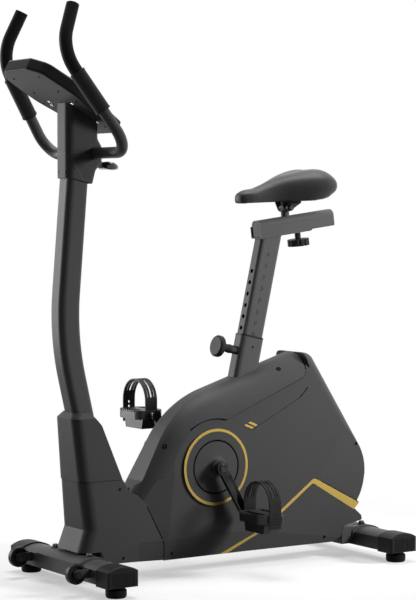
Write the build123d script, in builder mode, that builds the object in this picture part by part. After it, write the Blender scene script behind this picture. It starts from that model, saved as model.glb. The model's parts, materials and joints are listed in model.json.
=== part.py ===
"""Upright exercise bike, in millimetres.

X runs along the bike with the console at -X and the saddle at +X, the rider's left is -Y and Z is up.
The origin is on the floor, under the middle of the bike's length and width.
"""

import os
from math import cos, hypot, radians, sin, tan

from build123d import *

os.makedirs("parts", exist_ok=True)

# Overall reach
HALF_LENGTH = 537.0
GRIP_TIP_Z = 1430.0
FRONT_BASE_X = -382.0

# Stabilisers, their end caps and feet
STAB_WIDTH = 80.0
STAB_BOTTOM = 30.0
STAB_SHOULDER = 64.0
STAB_CROWN = 76.0
STAB_WALL = 2.0
FRONT_STAB_LENGTH = 490.0
REAR_STAB_LENGTH = 464.0
CAP_WALL = 3.0
CAP_LENGTH = 58.0
CAP_END = 7.0
CAP_ROUND = 5.0
CAP_RIB_COUNT = 11
CAP_RIB_WIDTH = 2.4
CAP_RIB_DEPTH = 1.2
FOOT_INSET = 35.0
FOOT_RADIUS = 26.0
FOOT_HEIGHT = 21.0
FOOT_STUD_RADIUS = 5.0
FOOT_STUD_TOP = 46.0

# Transport wheels
WHEEL_RADIUS = 25.5
WHEEL_WIDTH = 17.0
WHEEL_X = -456.0
WHEEL_Y = 144.0
WHEEL_Z = 54.0
WHEEL_AXLE_RADIUS = 4.0
FORK_PLATE = 3.0
FORK_EYE = 11.0

# Welded frame
BEAM_WIDTH = 60.0
BEAM_HEIGHT = 40.0
BEAM_BOTTOM = 52.0
BEAM_WALL = 2.5
BEAM_FRONT_X = -336.0
SADDLE_PLATE = 4.0
FRONT_SADDLE_LENGTH = 210.0
REAR_SADDLE_LENGTH = 140.0
REAR_BOX_LENGTH = 34.0
REAR_BOX_HEIGHT = 44.0
REAR_BOX_ROUND = 10.0
BOLT_RADIUS = 4.0
FRONT_BOLT_Y = 84.5
REAR_BOLT_Y = 50.0
NUT_RADIUS = 8.0
NUT_HEIGHT = 9.0

# Mast, a bent tube that slips over its socket
MAST_DEPTH = 56.0
MAST_WIDTH = 61.0
MAST_CORNER = 11.0
MAST_WALL = 2.5
MAST_KNEE_X = -407.0
MAST_KNEE_Z = 621.0
MAST_BEND = 680.0
MAST_LOWER_LEAN = 13.0
MAST_UPPER_LEAN = 4.7
MAST_FOOT_Z = 130.0
MAST_TOP_Z = 1050.0
SOCKET_TOP_Z = 330.0
SOCKET_WALL = 3.0
MAST_BOLT_HEIGHTS = (180.0, 235.0)

# Crank, pedals and drive
CRANK_Z = 273.0
CRANK_LENGTH = 140.0
CRANK_ANGLE = -60.0
AXLE_RADIUS = 10.0
BRACKET_RADIUS = 24.0
BRACKET_HALF = 34.0
BEARING_WIDTH = 12.0
BEARING_RADIUS = 17.0
ARM_INNER_Y = 97.0
ARM_THICK = 14.0
ARM_HUB = 17.0
ARM_EYE = 13.0
SPINDLE_RADIUS = 8.0
PEDAL_GAP = 8.0
PEDAL_WIDTH = 116.0
PEDAL_LENGTH = 80.0
PEDAL_CORNER = 26.0
PEDAL_HEIGHT = 24.0
PEDAL_WALL = 7.0
PEDAL_TEETH = 7
WEIGHT_DEPTH = 26.0
STRAP_WIDTH = 36.0
STRAP_THICK = 3.0
STRAP_RISE = 92.0
PULLEY_RADIUS = 95.0
PULLEY_WIDTH = 14.0
PULLEY_RIM = 9.0
PULLEY_Y = 44.0
BELT_THICK = 3.0
FLYWHEEL_X = 300.0
FLYWHEEL_Z = 232.0
FLYWHEEL_RADIUS = 110.0
FLYWHEEL_WIDTH = 26.0
FLYWHEEL_SHAFT = 8.0
FLYWHEEL_PULLEY = 26.0
FLYWHEEL_RIM = 22.0
DRIVE_PLATE = 4.0
BRAKE_GAP = 4.0
BRAKE_DEPTH = 12.0
BRAKE_FIRST = -48.0
BRAKE_LAST = 32.0
BRAKE_PIN = 4.0

# Moulded casing
CASE_HALF = 71.0
BAND_PROUD = 5.0
CASE_BOTTOM = 44.0
CASE_WALL = 4.5
CASE_HOLLOWS = ((6.5, 20.0), (12.0, 36.0), (28.0, 52.0))
CASE_POCKET = ((-100.0, 120.0), (-100.0, 370.0), (300.0, 370.0), (300.0, 120.0))
BAND_ROUND = 70.0
REAR_ROUND = 24.0
BAND_ARC = 125.0
BAND_ARC_FIRST = 74.0
BAND_NECK = (-149.0, 258.0)
BAND_FRONT = (-207.0, 244.0)
BAND_REAR_X = 288.0
BAND_REAR_Z = 495.0
BAND_END_ROUND = 26.0
BAND_PATH_START = (-244.0, 187.0)
CASE_HUMP = (-89.0, 437.5)
CASE_HUMP_ROUND = 280.0
CASE_TAIL = (307.4, 560.4)
CASE_TAIL_ROUND = 35.0
CASE_REAR = (HALF_LENGTH - 13.0, 230.6)
CASE_REAR_ROUND = 140.0
CASE_REAR_FOOT = (HALF_LENGTH - 62.0, 145.0)
CASE_NOTCH = (-232.0, 219.0)
CASE_SHOULDER = (-199.0, 247.0)
SEAM_TOP = (-206.0, 195.0)
SEAM_MIDDLE = (-152.0, 86.0)
SEAM_FOOT_X = -149.0
CASE_CORNERS = (
    ((SEAM_FOOT_X, CASE_BOTTOM), 0),
    ((HALF_LENGTH - 154.0, CASE_BOTTOM), 0),
    ((HALF_LENGTH - 130.0, 58.0), 8),
    ((HALF_LENGTH - 123.0, 84.0), 16),
    ((HALF_LENGTH - 59.0, 96.0), 4),
    ((HALF_LENGTH - 61.0, 108.0), 4),
    ((HALF_LENGTH - 85.0, 129.0), 0),
    (CASE_REAR_FOOT, 3),
    (CASE_REAR, CASE_REAR_ROUND),
    (CASE_TAIL, CASE_TAIL_ROUND),
    (CASE_HUMP, CASE_HUMP_ROUND),
    (CASE_SHOULDER, 4),
    (CASE_NOTCH, 0),
    (SEAM_TOP, 20),
    (SEAM_MIDDLE, 60),
)
SEAM_GAP = 0.6
FACET_SLOPE = 0.22
FACET_LINE = ((-311.0, 64.0), (-229.0, 98.0), (104.0, 99.0), (351.0, 63.0), (520.0, 38.0))
REAR_FACET_START = (327.0, 219.0)
REAR_FACET_END = (425.0, 360.0)
NECK_START = (-149.0, 60.0)
NECK_END = (-120.0, 290.0)
REAR_FACET_ANGLE = 6.0
NECK_ANGLE = 10.0
RING_RADIUS = 98.4
RING_BAND = 7.0
RING_PROUD = 4.5
DISC_RADIUS = 70.0
DISC_GAP = 0.8
STRIPE_DEEP = 1.5
STRIPE_PROUD = 0.6
STRIPE_FALL = 0.5185
STRIPE_CORNERS = (
    ((22.0, CASE_BOTTOM), 0),
    ((141.0, 98.0), 0),
    ((317.0, 221.0), 14),
    ((HALF_LENGTH - 69.0, 143.0), 0),
    ((HALF_LENGTH - 87.0, 126.0), 0),
    ((312.0, 208.0), 8),
    ((153.0, 96.5), 0),
    ((44.0, CASE_BOTTOM), 0),
)
ACCENT_CORNERS = ((86.5, 374.5), (291.6, 462.2), (270.6, 440.6), (112.0, 361.5))
ACCENT_DEEP = 1.0
ACCENT_GROOVE = ((293.0, 464.5), (270.0, 441.4), (112.4, 362.9), (114.0, 358.8), (272.8, 437.9), (295.5, 461.0))
GROOVE_DEEP = 3.0
CHIP_CORNERS = (
    ((90.0, 374.5), (97.0, 377.5), (120.5, 367.0), (113.5, 363.8)),
    ((102.5, 379.8), (110.0, 383.0), (133.0, 373.3), (125.5, 369.6)),
)
SCREW_HOLE = 4.6
CASE_SCREWS = (
    ((-155.0, 349.0), 63.0),
    ((199.0, 516.0), 63.0),
    ((-128.0, 61.0), 59.0),
    ((HALF_LENGTH - 186.0, 60.0), 67.0),
    ((HALF_LENGTH - 75.0, 302.0), 60.0),
)

# Front cover and mast boot
COVER_WALL = 4.0
COVER_GROOVE = 2.2
COVER_CORNER = 30.0
COVER_REAR_X = -100.0
COVER_FACET_HALF = 73.0
COVER_LEVELS = ((CASE_BOTTOM, -395.0, 74.0), (86.0, -395.0, 74.0), (140.0, -376.0, 71.0), (260.0, -389.0, 62.5))
COVER_SCREWS = (((-276.0, 63.0), 66.5), ((-282.0, 236.0), 61.5))
BOOT_SHOULDER_Z = 416.0
BOOT_TOP_Z = 430.0
BOOT_SHOULDER_FRONT = -404.0
BOOT_SHOULDER_HALF = 54.5
BOOT_SHOULDER_REAR = -335.0
BOOT_FOOT_REAR = -272.0
BOOT_BULGE = 12.0
BOOT_CHAMFER = 11.0
BOOT_REAR_HALF = 36.0
BOOT_RIM_REAR = (-328.0, 398.0)
BOOT_RIM_ANGLE = 48.0

# Seat post, rail and saddle
POST_TILT = 13.0
POST_DEPTH = 63.0
POST_WIDTH = 40.0
POST_CORNER = 10.0
POST_WALL = 2.5
BUSH_WALL = 1.5
SEAT_TUBE_WALL = 2.0
SEAT_TUBE_TOP_X = 156.0
SEAT_TUBE_TOP_Z = 595.5
POST_INSERT = 175.0
POST_HOLE_RADIUS = 6.0
POST_HOLE_PITCH = 30.4
POST_HOLES = 8
BUSH_LENGTH = 90.0
BUSH_LIP = 5.0
RAIL_TILT = 7.3
RAIL_HEIGHT = 44.0
RAIL_WIDTH = 40.0
RAIL_CORNER = 15.0
RAIL_EDGE = 4.0
RAIL_WALL = 2.5
RAIL_LENGTH = 242.0
RAIL_FRONT = -43.0
RAIL_MID_X = 221.5
RAIL_MID_Z = 885.5
RAIL_TRAVEL = 30.0
CHANNEL_LENGTH = 170.0
CHANNEL_FRONT = -46.0
CHANNEL_WALL = 3.0
CHANNEL_HEIGHT = 28.0
CHANNEL_ROUND = 10.0
RAIL_KNOB_AT = 88.0
RAIL_KNOB_RADIUS = 29.0
RAIL_KNOB_HEIGHT = 18.0
RAIL_KNOB_DROP = 18.5
RAIL_KNOB_STEM = 8.0
RAIL_KNOB_BOLT = 5.0
RAIL_KNOB_FLUTES = 12
STUB_AT = 54.0
STUB_RADIUS = 11.0
STUB_HEIGHT = 24.0
STUB_EYE = 12.0
SADDLE_BOLT_RADIUS = 4.0
SADDLE_DRUM_RADIUS = 10.5
SADDLE_DRUM_LENGTH = 13.0
SADDLE_NUT_HEIGHT = 7.0
CHEEK_PLATE = 4.0
CHEEK_LENGTH = 64.0
PAN_THICK = 5.0
PAN_FALL = 2.3
PAN_FOOT_X = 117.0
PAN_FOOT_Z = 952.0
PAN_CORNERS = (
    ((24.0, -10.0), 8),
    ((120.0, -26.0), 60),
    ((176.0, -62.0), 40),
    ((226.0, -66.0), 30),
    ((226.0, 66.0), 30),
    ((176.0, 62.0), 40),
    ((120.0, 26.0), 60),
    ((24.0, 10.0), 8),
)
CUSHION_STATIONS = (
    (117.0, 12.0, 957.0, 970.0, 0.0),
    (124.0, 22.0, 952.0, 977.0, -1.0),
    (165.0, 33.0, 952.0, 992.5, -3.0),
    (223.0, 46.0, 954.0, 1012.0, -3.0),
    (265.0, 70.0, 957.0, 1022.0, -1.0),
    (306.0, 96.0, 960.0, 1029.5, 3.0),
    (346.0, 106.0, 967.0, 1032.5, 5.0),
    (374.0, 95.0, 975.0, 1024.0, 6.0),
    (388.0, 70.0, 986.0, 1009.0, 4.0),
)

# Pull pin on the seat tube
PIN_BELOW_TOP = 40.5
PIN_RADIUS = 5.5
PIN_HOUSING_RADIUS = 11.0
PIN_HOUSING = 20.0
PIN_NECK_RADIUS = 12.0
PIN_NECK = 29.0
PIN_KNOB_RADIUS = 28.5
PIN_KNOB = 17.0
PIN_KNOB_ROUND = 6.0

# Handlebar, its clamp and the mast shroud
BAR_RADIUS = 14.0
BAR_WALL = 2.0
BAR_X = -332.0
BAR_Z = 1071.0
BAR_HALF = 201.0
BAR_LOWER_BEND = 55.0
BAR_UPPER_BEND = 110.0
BAR_KNEE = (-494.0, -152.0, 1312.0)
BAR_TIP = (-446.0, -124.5, GRIP_TIP_Z)
GRIP_WALL = 2.0
GRIP_SEAM = 1.0
SENSOR_RADIUS = 19.0
SENSOR_LENGTH = 112.0
SENSOR_FROM_KNEE = 64.0
CLAMP_WALL = 4.0
CLAMP_HALF = 24.0
CLAMP_PLATE = 8.0
LUG_HALF = 12.0
LUG_BOTTOM_Z = 1036.0
LUG_REAR_X = -327.0
BAR_KNOB_X = -274.0
BAR_KNOB_Z = 1040.0
BAR_KNOB_FALL = 8.0
BAR_KNOB_BOLT = 5.0
BAR_KNOB_NECK = 9.0
BAR_KNOB_SECTIONS = ((22.0, 30.0, 14.0), (6.0, 60.0, 20.0), (-10.0, 48.0, 16.0), (-22.0, 24.0, 10.0))
BAR_KNOB_LENGTH = 44.0
BAR_KNOB_REACH = 68.0
SHROUD_FRONT_X = -409.0
SHROUD_REAR_X = -321.0
SHROUD_BULGE_X = -309.0
SHROUD_BULGE_Z = (1049.0, 1088.0)
SHROUD_BULGE_ROUND = 14.0
SHROUD_TOP_Z = 1230.0
SHROUD_FOOT_FRONT_Z = 1010.0
SHROUD_FOOT_REAR = (-337.0, 996.0)
SHROUD_SPARE = 40.0
SHROUD_HALF = 34.0
SHROUD_CORNER = 12.0
SHROUD_WALL = 3.0
SHROUD_SEAM_X = -364.6
SHROUD_SEAM_Z = 1002.4
SHROUD_SEAM_SLOPE = 1.52
BAR_HOLE_GAP = 1.0

# Console
CONSOLE_TILT = 30.3
CONSOLE_THICK = 32.0
CONSOLE_EDGE = 6.0
CONSOLE_WALL = 3.0
CONSOLE_FACE = 4.0
CONSOLE_NOSE_Z = 1270.0
CONSOLE_CORNERS = (
    ((0.0, -55.0), 16),
    ((26.0, -97.0), 26),
    ((130.0, -107.0), 120),
    ((298.0, -54.0), 16),
    ((298.0, 54.0), 16),
    ((130.0, 107.0), 120),
    ((26.0, 97.0), 26),
    ((0.0, 55.0), 16),
)
WINDOW_LENGTH = 96.0
WINDOW_WIDTH = 150.0
WINDOW_AT = 96.0
WINDOW_THICK = 2.5
BUTTON_RADIUS = 9.0
BUTTON_FLANGE = 1.6
BUTTON_NAMES = ("down", "mode", "up")
BUTTON_PITCH = 32.0
BUTTON_AT = 190.0
BUTTON_PROUD = 2.0

# Clearances
RUNNING = 0.05
SLIDING = 0.3
SEAT = 0.2
NOSE_GAP = 0.3

# Places that follow from the driving sizes
REAR_BASE_X = HALF_LENGTH - STAB_WIDTH / 2 - SEAT - SADDLE_PLATE
BEAM_MID = BEAM_BOTTOM + BEAM_HEIGHT / 2
BEAM_TOP = BEAM_BOTTOM + BEAM_HEIGHT
BEAM_REAR_X = REAR_BASE_X - STAB_WIDTH / 2 - SEAT - SADDLE_PLATE - REAR_BOX_LENGTH
CASE_OUTER = CASE_HALF + BAND_PROUD
TOP_SLOPE = (CASE_TAIL[1] - CASE_HUMP[1]) / (CASE_TAIL[0] - CASE_HUMP[0])
POST_UP = Vector(sin(radians(POST_TILT)), 0, cos(radians(POST_TILT)))
POST_FORE = Vector(-cos(radians(POST_TILT)), 0, sin(radians(POST_TILT)))
SEAT_TUBE_TOP = Vector(SEAT_TUBE_TOP_X, 0, SEAT_TUBE_TOP_Z)
SEAT_TUBE_DEPTH = POST_DEPTH + 2 * (BUSH_WALL + SEAT_TUBE_WALL)
SEAT_TUBE_WIDTH = POST_WIDTH + 2 * (BUSH_WALL + SEAT_TUBE_WALL)
SEAT_TUBE_CORNER = POST_CORNER + BUSH_WALL + SEAT_TUBE_WALL
CRANK_CENTRE = Vector(0, 0, CRANK_Z)
SIDES = (("left", -1), ("right", 1))


def side_plane(y=0.0, x=0.0, z=0.0):
    """Plane seen from the rider's left: its sketch axes are X and Z, and its normal points to -Y."""
    return Plane(origin=(x, y, z), x_dir=(1, 0, 0), z_dir=(0, -1, 0))


def keep(builder, label):
    """Label a finished piece and write its file."""
    builder.part.label = label
    export_step(builder.part, f"parts/{label}.step")


def keep_pair(left_builder, stem):
    """Write a left piece and its mirror image on the right."""
    keep(left_builder, f"{stem}_left")
    with BuildPart() as right:
        mirror(left_builder.part, about=Plane.XZ)
    keep(right, f"{stem}_right")


def keep_both(left_builder, label):
    """Write a left piece and its mirror image as one node."""
    with BuildPart() as both:
        add(left_builder.part)
        mirror(left_builder.part, about=Plane.XZ)
    keep(both, label)


# Stabilisers


def loaf(grow=0.0):
    """The stabiliser's section: a flat base, upright sides and an arched top."""
    half = STAB_WIDTH / 2 + grow
    shoulder = STAB_SHOULDER + grow
    with BuildSketch() as section:
        with BuildLine():
            base = STAB_BOTTOM - grow
            Polyline((-half, shoulder), (-half, base), (half, base), (half, shoulder))
            ThreePointArc((half, shoulder), (0, STAB_CROWN + grow), (-half, shoulder))
        make_face()
    return section.sketch


def bolt_places(x, half_pitch):
    return [(x, -half_pitch), (x, half_pitch)]


STABILISERS = (
    ("front", FRONT_BASE_X, FRONT_STAB_LENGTH / 2, FRONT_BOLT_Y),
    ("rear", REAR_BASE_X, REAR_STAB_LENGTH / 2, REAR_BOLT_Y),
)

caps = []
for end, base_x, half_span, bolt_y in STABILISERS:
    foot_y = half_span - FOOT_INSET
    with BuildPart() as stabiliser:
        with BuildSketch(side_plane(x=base_x)):
            add(loaf())
        extrude(amount=half_span - CAP_END - SEAT, both=True)
        with BuildSketch(side_plane(x=base_x)):
            add(loaf(-STAB_WALL))
        extrude(amount=half_span, both=True, mode=Mode.SUBTRACT)
        with BuildSketch(Plane.XY.offset(STAB_BOTTOM)):
            with Locations(*bolt_places(base_x, foot_y)):
                Circle(FOOT_STUD_RADIUS + RUNNING)
        extrude(amount=2 * STAB_WALL, both=True, mode=Mode.SUBTRACT)
        with BuildSketch(Plane.XY):
            with Locations(*bolt_places(base_x, bolt_y)):
                Circle(BOLT_RADIUS + SEAT)
        extrude(amount=STAB_CROWN + STAB_WALL, mode=Mode.SUBTRACT)
    keep(stabiliser, f"{end}_stabiliser")

    with BuildPart() as cap:
        with BuildSketch(side_plane(x=base_x, y=-half_span)):
            add(loaf(CAP_WALL))
        extrude(amount=-CAP_LENGTH)
        fillet(cap.faces().sort_by(Axis.Y)[0].edges(), CAP_ROUND)
        with BuildSketch(side_plane(x=base_x, y=-half_span + CAP_END)):
            add(loaf(SEAT))
        extrude(amount=-CAP_LENGTH, mode=Mode.SUBTRACT)
        rib_pitch = (STAB_WIDTH - 4 * CAP_ROUND) / (CAP_RIB_COUNT - 1)
        with BuildSketch(side_plane(x=base_x, y=-half_span, z=(STAB_BOTTOM + STAB_SHOULDER) / 2)):
            with GridLocations(rib_pitch, 0, CAP_RIB_COUNT, 1):
                SlotOverall(STAB_SHOULDER - STAB_BOTTOM, CAP_RIB_WIDTH, rotation=90)
        extrude(amount=-CAP_RIB_DEPTH, mode=Mode.SUBTRACT)
        with BuildSketch(Plane.XY.offset(STAB_BOTTOM)):
            with Locations((base_x, -foot_y)):
                Circle(FOOT_STUD_RADIUS + RUNNING)
        extrude(amount=-2 * CAP_WALL, mode=Mode.SUBTRACT)
    caps.append(cap.part)

    for side, sign in SIDES:
        foot_place = Plane(origin=(base_x, sign * foot_y, 0), x_dir=(1, 0, 0), z_dir=(0, -1, 0))
        with BuildPart() as foot:
            with BuildSketch(foot_place):
                with BuildLine():
                    Polyline(
                        (0, 0),
                        (FOOT_RADIUS - 3, 0),
                        (FOOT_RADIUS - 1, 2),
                        (FOOT_RADIUS, 7),
                        (FOOT_RADIUS, FOOT_HEIGHT - 3),
                        (FOOT_RADIUS - 3, FOOT_HEIGHT),
                        (2 * FOOT_STUD_RADIUS, FOOT_HEIGHT),
                        (2 * FOOT_STUD_RADIUS, STAB_BOTTOM - CAP_WALL - SLIDING),
                        (FOOT_STUD_RADIUS, STAB_BOTTOM - CAP_WALL - SLIDING),
                        (FOOT_STUD_RADIUS, FOOT_STUD_TOP),
                        (0, FOOT_STUD_TOP),
                        close=True,
                    )
                make_face()
            revolve(axis=Axis((base_x, sign * foot_y, 0), (0, 0, 1)))
        keep(foot, f"{end}_foot_{side}")

with BuildPart() as stabiliser_caps:
    for cap_part in caps:
        add(cap_part)
        mirror(cap_part, about=Plane.XZ)
keep(stabiliser_caps, "stabiliser_caps")

with BuildPart() as stabiliser_bolts:
    for end, base_x, half_span, bolt_y in STABILISERS:
        nut_base = STAB_CROWN + SEAT + SADDLE_PLATE
        for place_x, place_y in bolt_places(base_x, bolt_y):
            with BuildSketch(side_plane(x=place_x, y=place_y)):
                with BuildLine():
                    Polyline(
                        (0, STAB_BOTTOM - 4),
                        (BOLT_RADIUS, STAB_BOTTOM - 4),
                        (NUT_RADIUS, STAB_BOTTOM - 1),
                        (NUT_RADIUS, STAB_BOTTOM),
                        (BOLT_RADIUS, STAB_BOTTOM),
                        (BOLT_RADIUS, nut_base),
                        (NUT_RADIUS + 3, nut_base),
                        (NUT_RADIUS + 3, nut_base + 1.6),
                        (NUT_RADIUS, nut_base + 1.6),
                        (NUT_RADIUS, nut_base + NUT_HEIGHT - 3),
                        (NUT_RADIUS - 3, nut_base + NUT_HEIGHT),
                        (0, nut_base + NUT_HEIGHT),
                        close=True,
                    )
                make_face()
            revolve(axis=Axis((place_x, place_y, 0), (0, 0, 1)))

# Transport wheels

fork_half = WHEEL_WIDTH / 2 + SLIDING + FORK_PLATE
fork_root_x = FRONT_BASE_X - STAB_WIDTH / 2
with BuildPart() as fork:
    with BuildSketch(side_plane(y=-WHEEL_Y)):
        with BuildLine():
            Polyline(
                (WHEEL_X, WHEEL_Z + FORK_EYE),
                (fork_root_x, WHEEL_Z + FORK_EYE),
                (fork_root_x, WHEEL_Z - FORK_EYE),
                (WHEEL_X, WHEEL_Z - FORK_EYE),
            )
            ThreePointArc(
                (WHEEL_X, WHEEL_Z - FORK_EYE), (WHEEL_X - FORK_EYE, WHEEL_Z), (WHEEL_X, WHEEL_Z + FORK_EYE)
            )
        make_face()
        with Locations((WHEEL_X, WHEEL_Z)):
            Circle(WHEEL_AXLE_RADIUS + SEAT, mode=Mode.SUBTRACT)
    extrude(amount=fork_half, both=True)
    with BuildSketch(side_plane(y=-WHEEL_Y)):
        with Locations((fork_root_x - FORK_PLATE, WHEEL_Z)):
            Rectangle(WHEEL_RADIUS * 4, WHEEL_RADIUS * 4, align=(Align.MAX, Align.CENTER))
    extrude(amount=fork_half - FORK_PLATE, both=True, mode=Mode.SUBTRACT)
keep_both(fork, "wheel_forks")

with BuildPart() as axle_bolt:
    for place_y in (-WHEEL_Y, WHEEL_Y):
        with BuildSketch(side_plane(y=place_y, x=WHEEL_X, z=WHEEL_Z)):
            Circle(WHEEL_AXLE_RADIUS)
        extrude(amount=fork_half, both=True)
        for sign in (-1, 1):
            with BuildSketch(side_plane(y=place_y + sign * fork_half, x=WHEEL_X, z=WHEEL_Z)):
                RegularPolygon(2 * WHEEL_AXLE_RADIUS, 6)
            extrude(amount=-sign * 5.0)

for side, sign in SIDES:
    with BuildPart() as wheel:
        with BuildSketch(Plane(origin=(WHEEL_X, sign * WHEEL_Y, WHEEL_Z), x_dir=(0, 1, 0), z_dir=(1, 0, 0))):
            half = WHEEL_WIDTH / 2
            bore = WHEEL_AXLE_RADIUS + RUNNING
            with BuildLine():
                Polyline(
                    (-half, bore),
                    (half, bore),
                    (half, 2.2 * bore),
                    (half - 4, 2.6 * bore),
                    (half - 4, WHEEL_RADIUS - 7),
                    (half, WHEEL_RADIUS - 6),
                    (half, WHEEL_RADIUS - 2),
                    (half - 2, WHEEL_RADIUS),
                    (2 - half, WHEEL_RADIUS),
                    (-half, WHEEL_RADIUS - 2),
                    (-half, WHEEL_RADIUS - 6),
                    (4 - half, WHEEL_RADIUS - 7),
                    (4 - half, 2.6 * bore),
                    (-half, 2.2 * bore),
                    close=True,
                )
            make_face()
        revolve(axis=Axis((WHEEL_X, sign * WHEEL_Y, WHEEL_Z), (0, 1, 0)))
    keep(wheel, f"transport_wheel_{side}")

# Welded frame


def slanted_plane(origin, lean, fore=False):
    """Plane across a tube that leans towards the rear, or towards the front when fore is set."""
    turn = radians(-lean if fore else lean)
    return Plane(origin=origin, x_dir=(cos(turn), 0, -sin(turn)), z_dir=(sin(turn), 0, cos(turn)))


def tube_section(depth, width, corner, wall=0.0):
    """Rounded rectangle, hollow when it has a wall."""
    with BuildSketch() as section:
        RectangleRounded(depth, width, corner)
        if wall:
            RectangleRounded(depth - 2 * wall, width - 2 * wall, corner - wall, mode=Mode.SUBTRACT)
    return section.sketch


def mast_point(z):
    """Point on the mast's straight lower or upper line at a height."""
    if z < MAST_KNEE_Z:
        return Vector(MAST_KNEE_X + (MAST_KNEE_Z - z) * tan(radians(MAST_LOWER_LEAN)), 0, z)
    return Vector(MAST_KNEE_X + (z - MAST_KNEE_Z) * tan(radians(MAST_UPPER_LEAN)), 0, z)


with BuildPart() as beam:
    with BuildSketch(Plane(origin=(BEAM_FRONT_X, 0, BEAM_MID), x_dir=(0, 1, 0), z_dir=(1, 0, 0))):
        add(tube_section(BEAM_WIDTH, BEAM_HEIGHT, 2 * BEAM_WALL, BEAM_WALL))
    extrude(amount=BEAM_REAR_X - BEAM_FRONT_X)

with BuildPart() as front_saddle:
    with BuildSketch(side_plane(x=FRONT_BASE_X)):
        add(loaf(SEAT + SADDLE_PLATE))
    extrude(amount=FRONT_SADDLE_LENGTH / 2, both=True)
    split(bisect_by=Plane.XY.offset(STAB_SHOULDER), keep=Keep.TOP)
    with BuildSketch(side_plane()):
        with Locations((BEAM_FRONT_X, BEAM_MID)):
            Rectangle(BEAM_FRONT_X - FRONT_BASE_X, BEAM_HEIGHT, align=(Align.MAX, Align.CENTER))
    extrude(amount=BEAM_WIDTH / 2, both=True)
    with BuildSketch(side_plane(x=FRONT_BASE_X)):
        add(loaf(SEAT))
    extrude(amount=FRONT_SADDLE_LENGTH, both=True, mode=Mode.SUBTRACT)
    with BuildSketch(Plane.XY):
        with Locations(*bolt_places(FRONT_BASE_X, FRONT_BOLT_Y)):
            Circle(BOLT_RADIUS + SEAT)
    extrude(amount=BEAM_TOP, mode=Mode.SUBTRACT)

with BuildPart() as rear_saddle:
    with BuildSketch(side_plane(x=REAR_BASE_X)):
        add(loaf(SEAT + SADDLE_PLATE))
    extrude(amount=REAR_SADDLE_LENGTH / 2, both=True)
    split(bisect_by=Plane.XY.offset(STAB_BOTTOM + SADDLE_PLATE), keep=Keep.TOP)
    with BuildSketch(side_plane()):
        with Locations((BEAM_REAR_X, STAB_BOTTOM + SADDLE_PLATE)):
            Rectangle(REAR_BASE_X - BEAM_REAR_X, REAR_BOX_HEIGHT, align=Align.MIN)
    extrude(amount=REAR_SADDLE_LENGTH / 2 - SADDLE_PLATE, both=True)
    fillet(rear_saddle.edges().filter_by(Axis.Y).group_by(Axis.X)[0].sort_by(Axis.Z)[-1], REAR_BOX_ROUND)
    with BuildSketch(side_plane(x=REAR_BASE_X)):
        add(loaf(SEAT))
    extrude(amount=REAR_SADDLE_LENGTH, both=True, mode=Mode.SUBTRACT)
    with BuildSketch(Plane.XY):
        with Locations(*bolt_places(REAR_BASE_X, REAR_BOLT_Y)):
            Circle(BOLT_RADIUS + SEAT)
    extrude(amount=BEAM_TOP, mode=Mode.SUBTRACT)

with BuildPart() as base_frame:
    add(beam.part)
    add(front_saddle.part)
    add(rear_saddle.part)
keep(base_frame, "base_frame")

socket_depth = MAST_DEPTH - 2 * MAST_WALL - 2 * SEAT
socket_width = MAST_WIDTH - 2 * MAST_WALL - 2 * SEAT
with BuildPart() as mast_socket:
    with BuildSketch(slanted_plane(mast_point(SOCKET_TOP_Z), MAST_LOWER_LEAN, fore=True)):
        add(tube_section(socket_depth, socket_width, MAST_CORNER - MAST_WALL, SOCKET_WALL))
    extrude(amount=-2 * SOCKET_TOP_Z)
    split(bisect_by=Plane.XY.offset(BEAM_TOP), keep=Keep.TOP)
    for bolt_z in MAST_BOLT_HEIGHTS:
        with BuildSketch(side_plane(x=mast_point(bolt_z).X, z=bolt_z)):
            Circle(BOLT_RADIUS + SEAT)
        extrude(amount=MAST_WIDTH, both=True, mode=Mode.SUBTRACT)
keep(mast_socket, "mast_socket")

with BuildPart() as mast:
    with BuildLine() as mast_line:
        FilletPolyline(
            mast_point(MAST_FOOT_Z), (MAST_KNEE_X, 0, MAST_KNEE_Z), mast_point(MAST_TOP_Z), radius=MAST_BEND
        )
    with BuildSketch(slanted_plane(mast_point(MAST_FOOT_Z), MAST_LOWER_LEAN, fore=True)):
        add(tube_section(MAST_DEPTH, MAST_WIDTH, MAST_CORNER, MAST_WALL))
    sweep(path=mast_line.line)
    for bolt_z in MAST_BOLT_HEIGHTS:
        with BuildSketch(side_plane(x=mast_point(bolt_z).X, z=bolt_z)):
            Circle(BOLT_RADIUS + SEAT)
        extrude(amount=MAST_WIDTH, both=True, mode=Mode.SUBTRACT)
keep(mast, "mast")

with BuildPart() as mast_bolts:
    for bolt_z in MAST_BOLT_HEIGHTS:
        bolt_x = mast_point(bolt_z).X
        with BuildSketch(side_plane(x=bolt_x, z=bolt_z)):
            Circle(BOLT_RADIUS)
        extrude(amount=MAST_WIDTH / 2, both=True)
        for sign in (-1, 1):
            with BuildSketch(side_plane(y=sign * MAST_WIDTH / 2, x=bolt_x, z=bolt_z)):
                RegularPolygon(NUT_RADIUS, 6)
            extrude(amount=-sign * (NUT_HEIGHT - 3))

with BuildPart() as frame_bolts:
    add(stabiliser_bolts.part)
    add(axle_bolt.part)
    add(mast_bolts.part)
keep(frame_bolts, "frame_bolts")

seat_tube_plane = slanted_plane(SEAT_TUBE_TOP, POST_TILT)
pin_root = SEAT_TUBE_TOP - POST_UP * PIN_BELOW_TOP
pin_plane = Plane(origin=pin_root, x_dir=(0, 1, 0), z_dir=POST_FORE)

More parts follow.
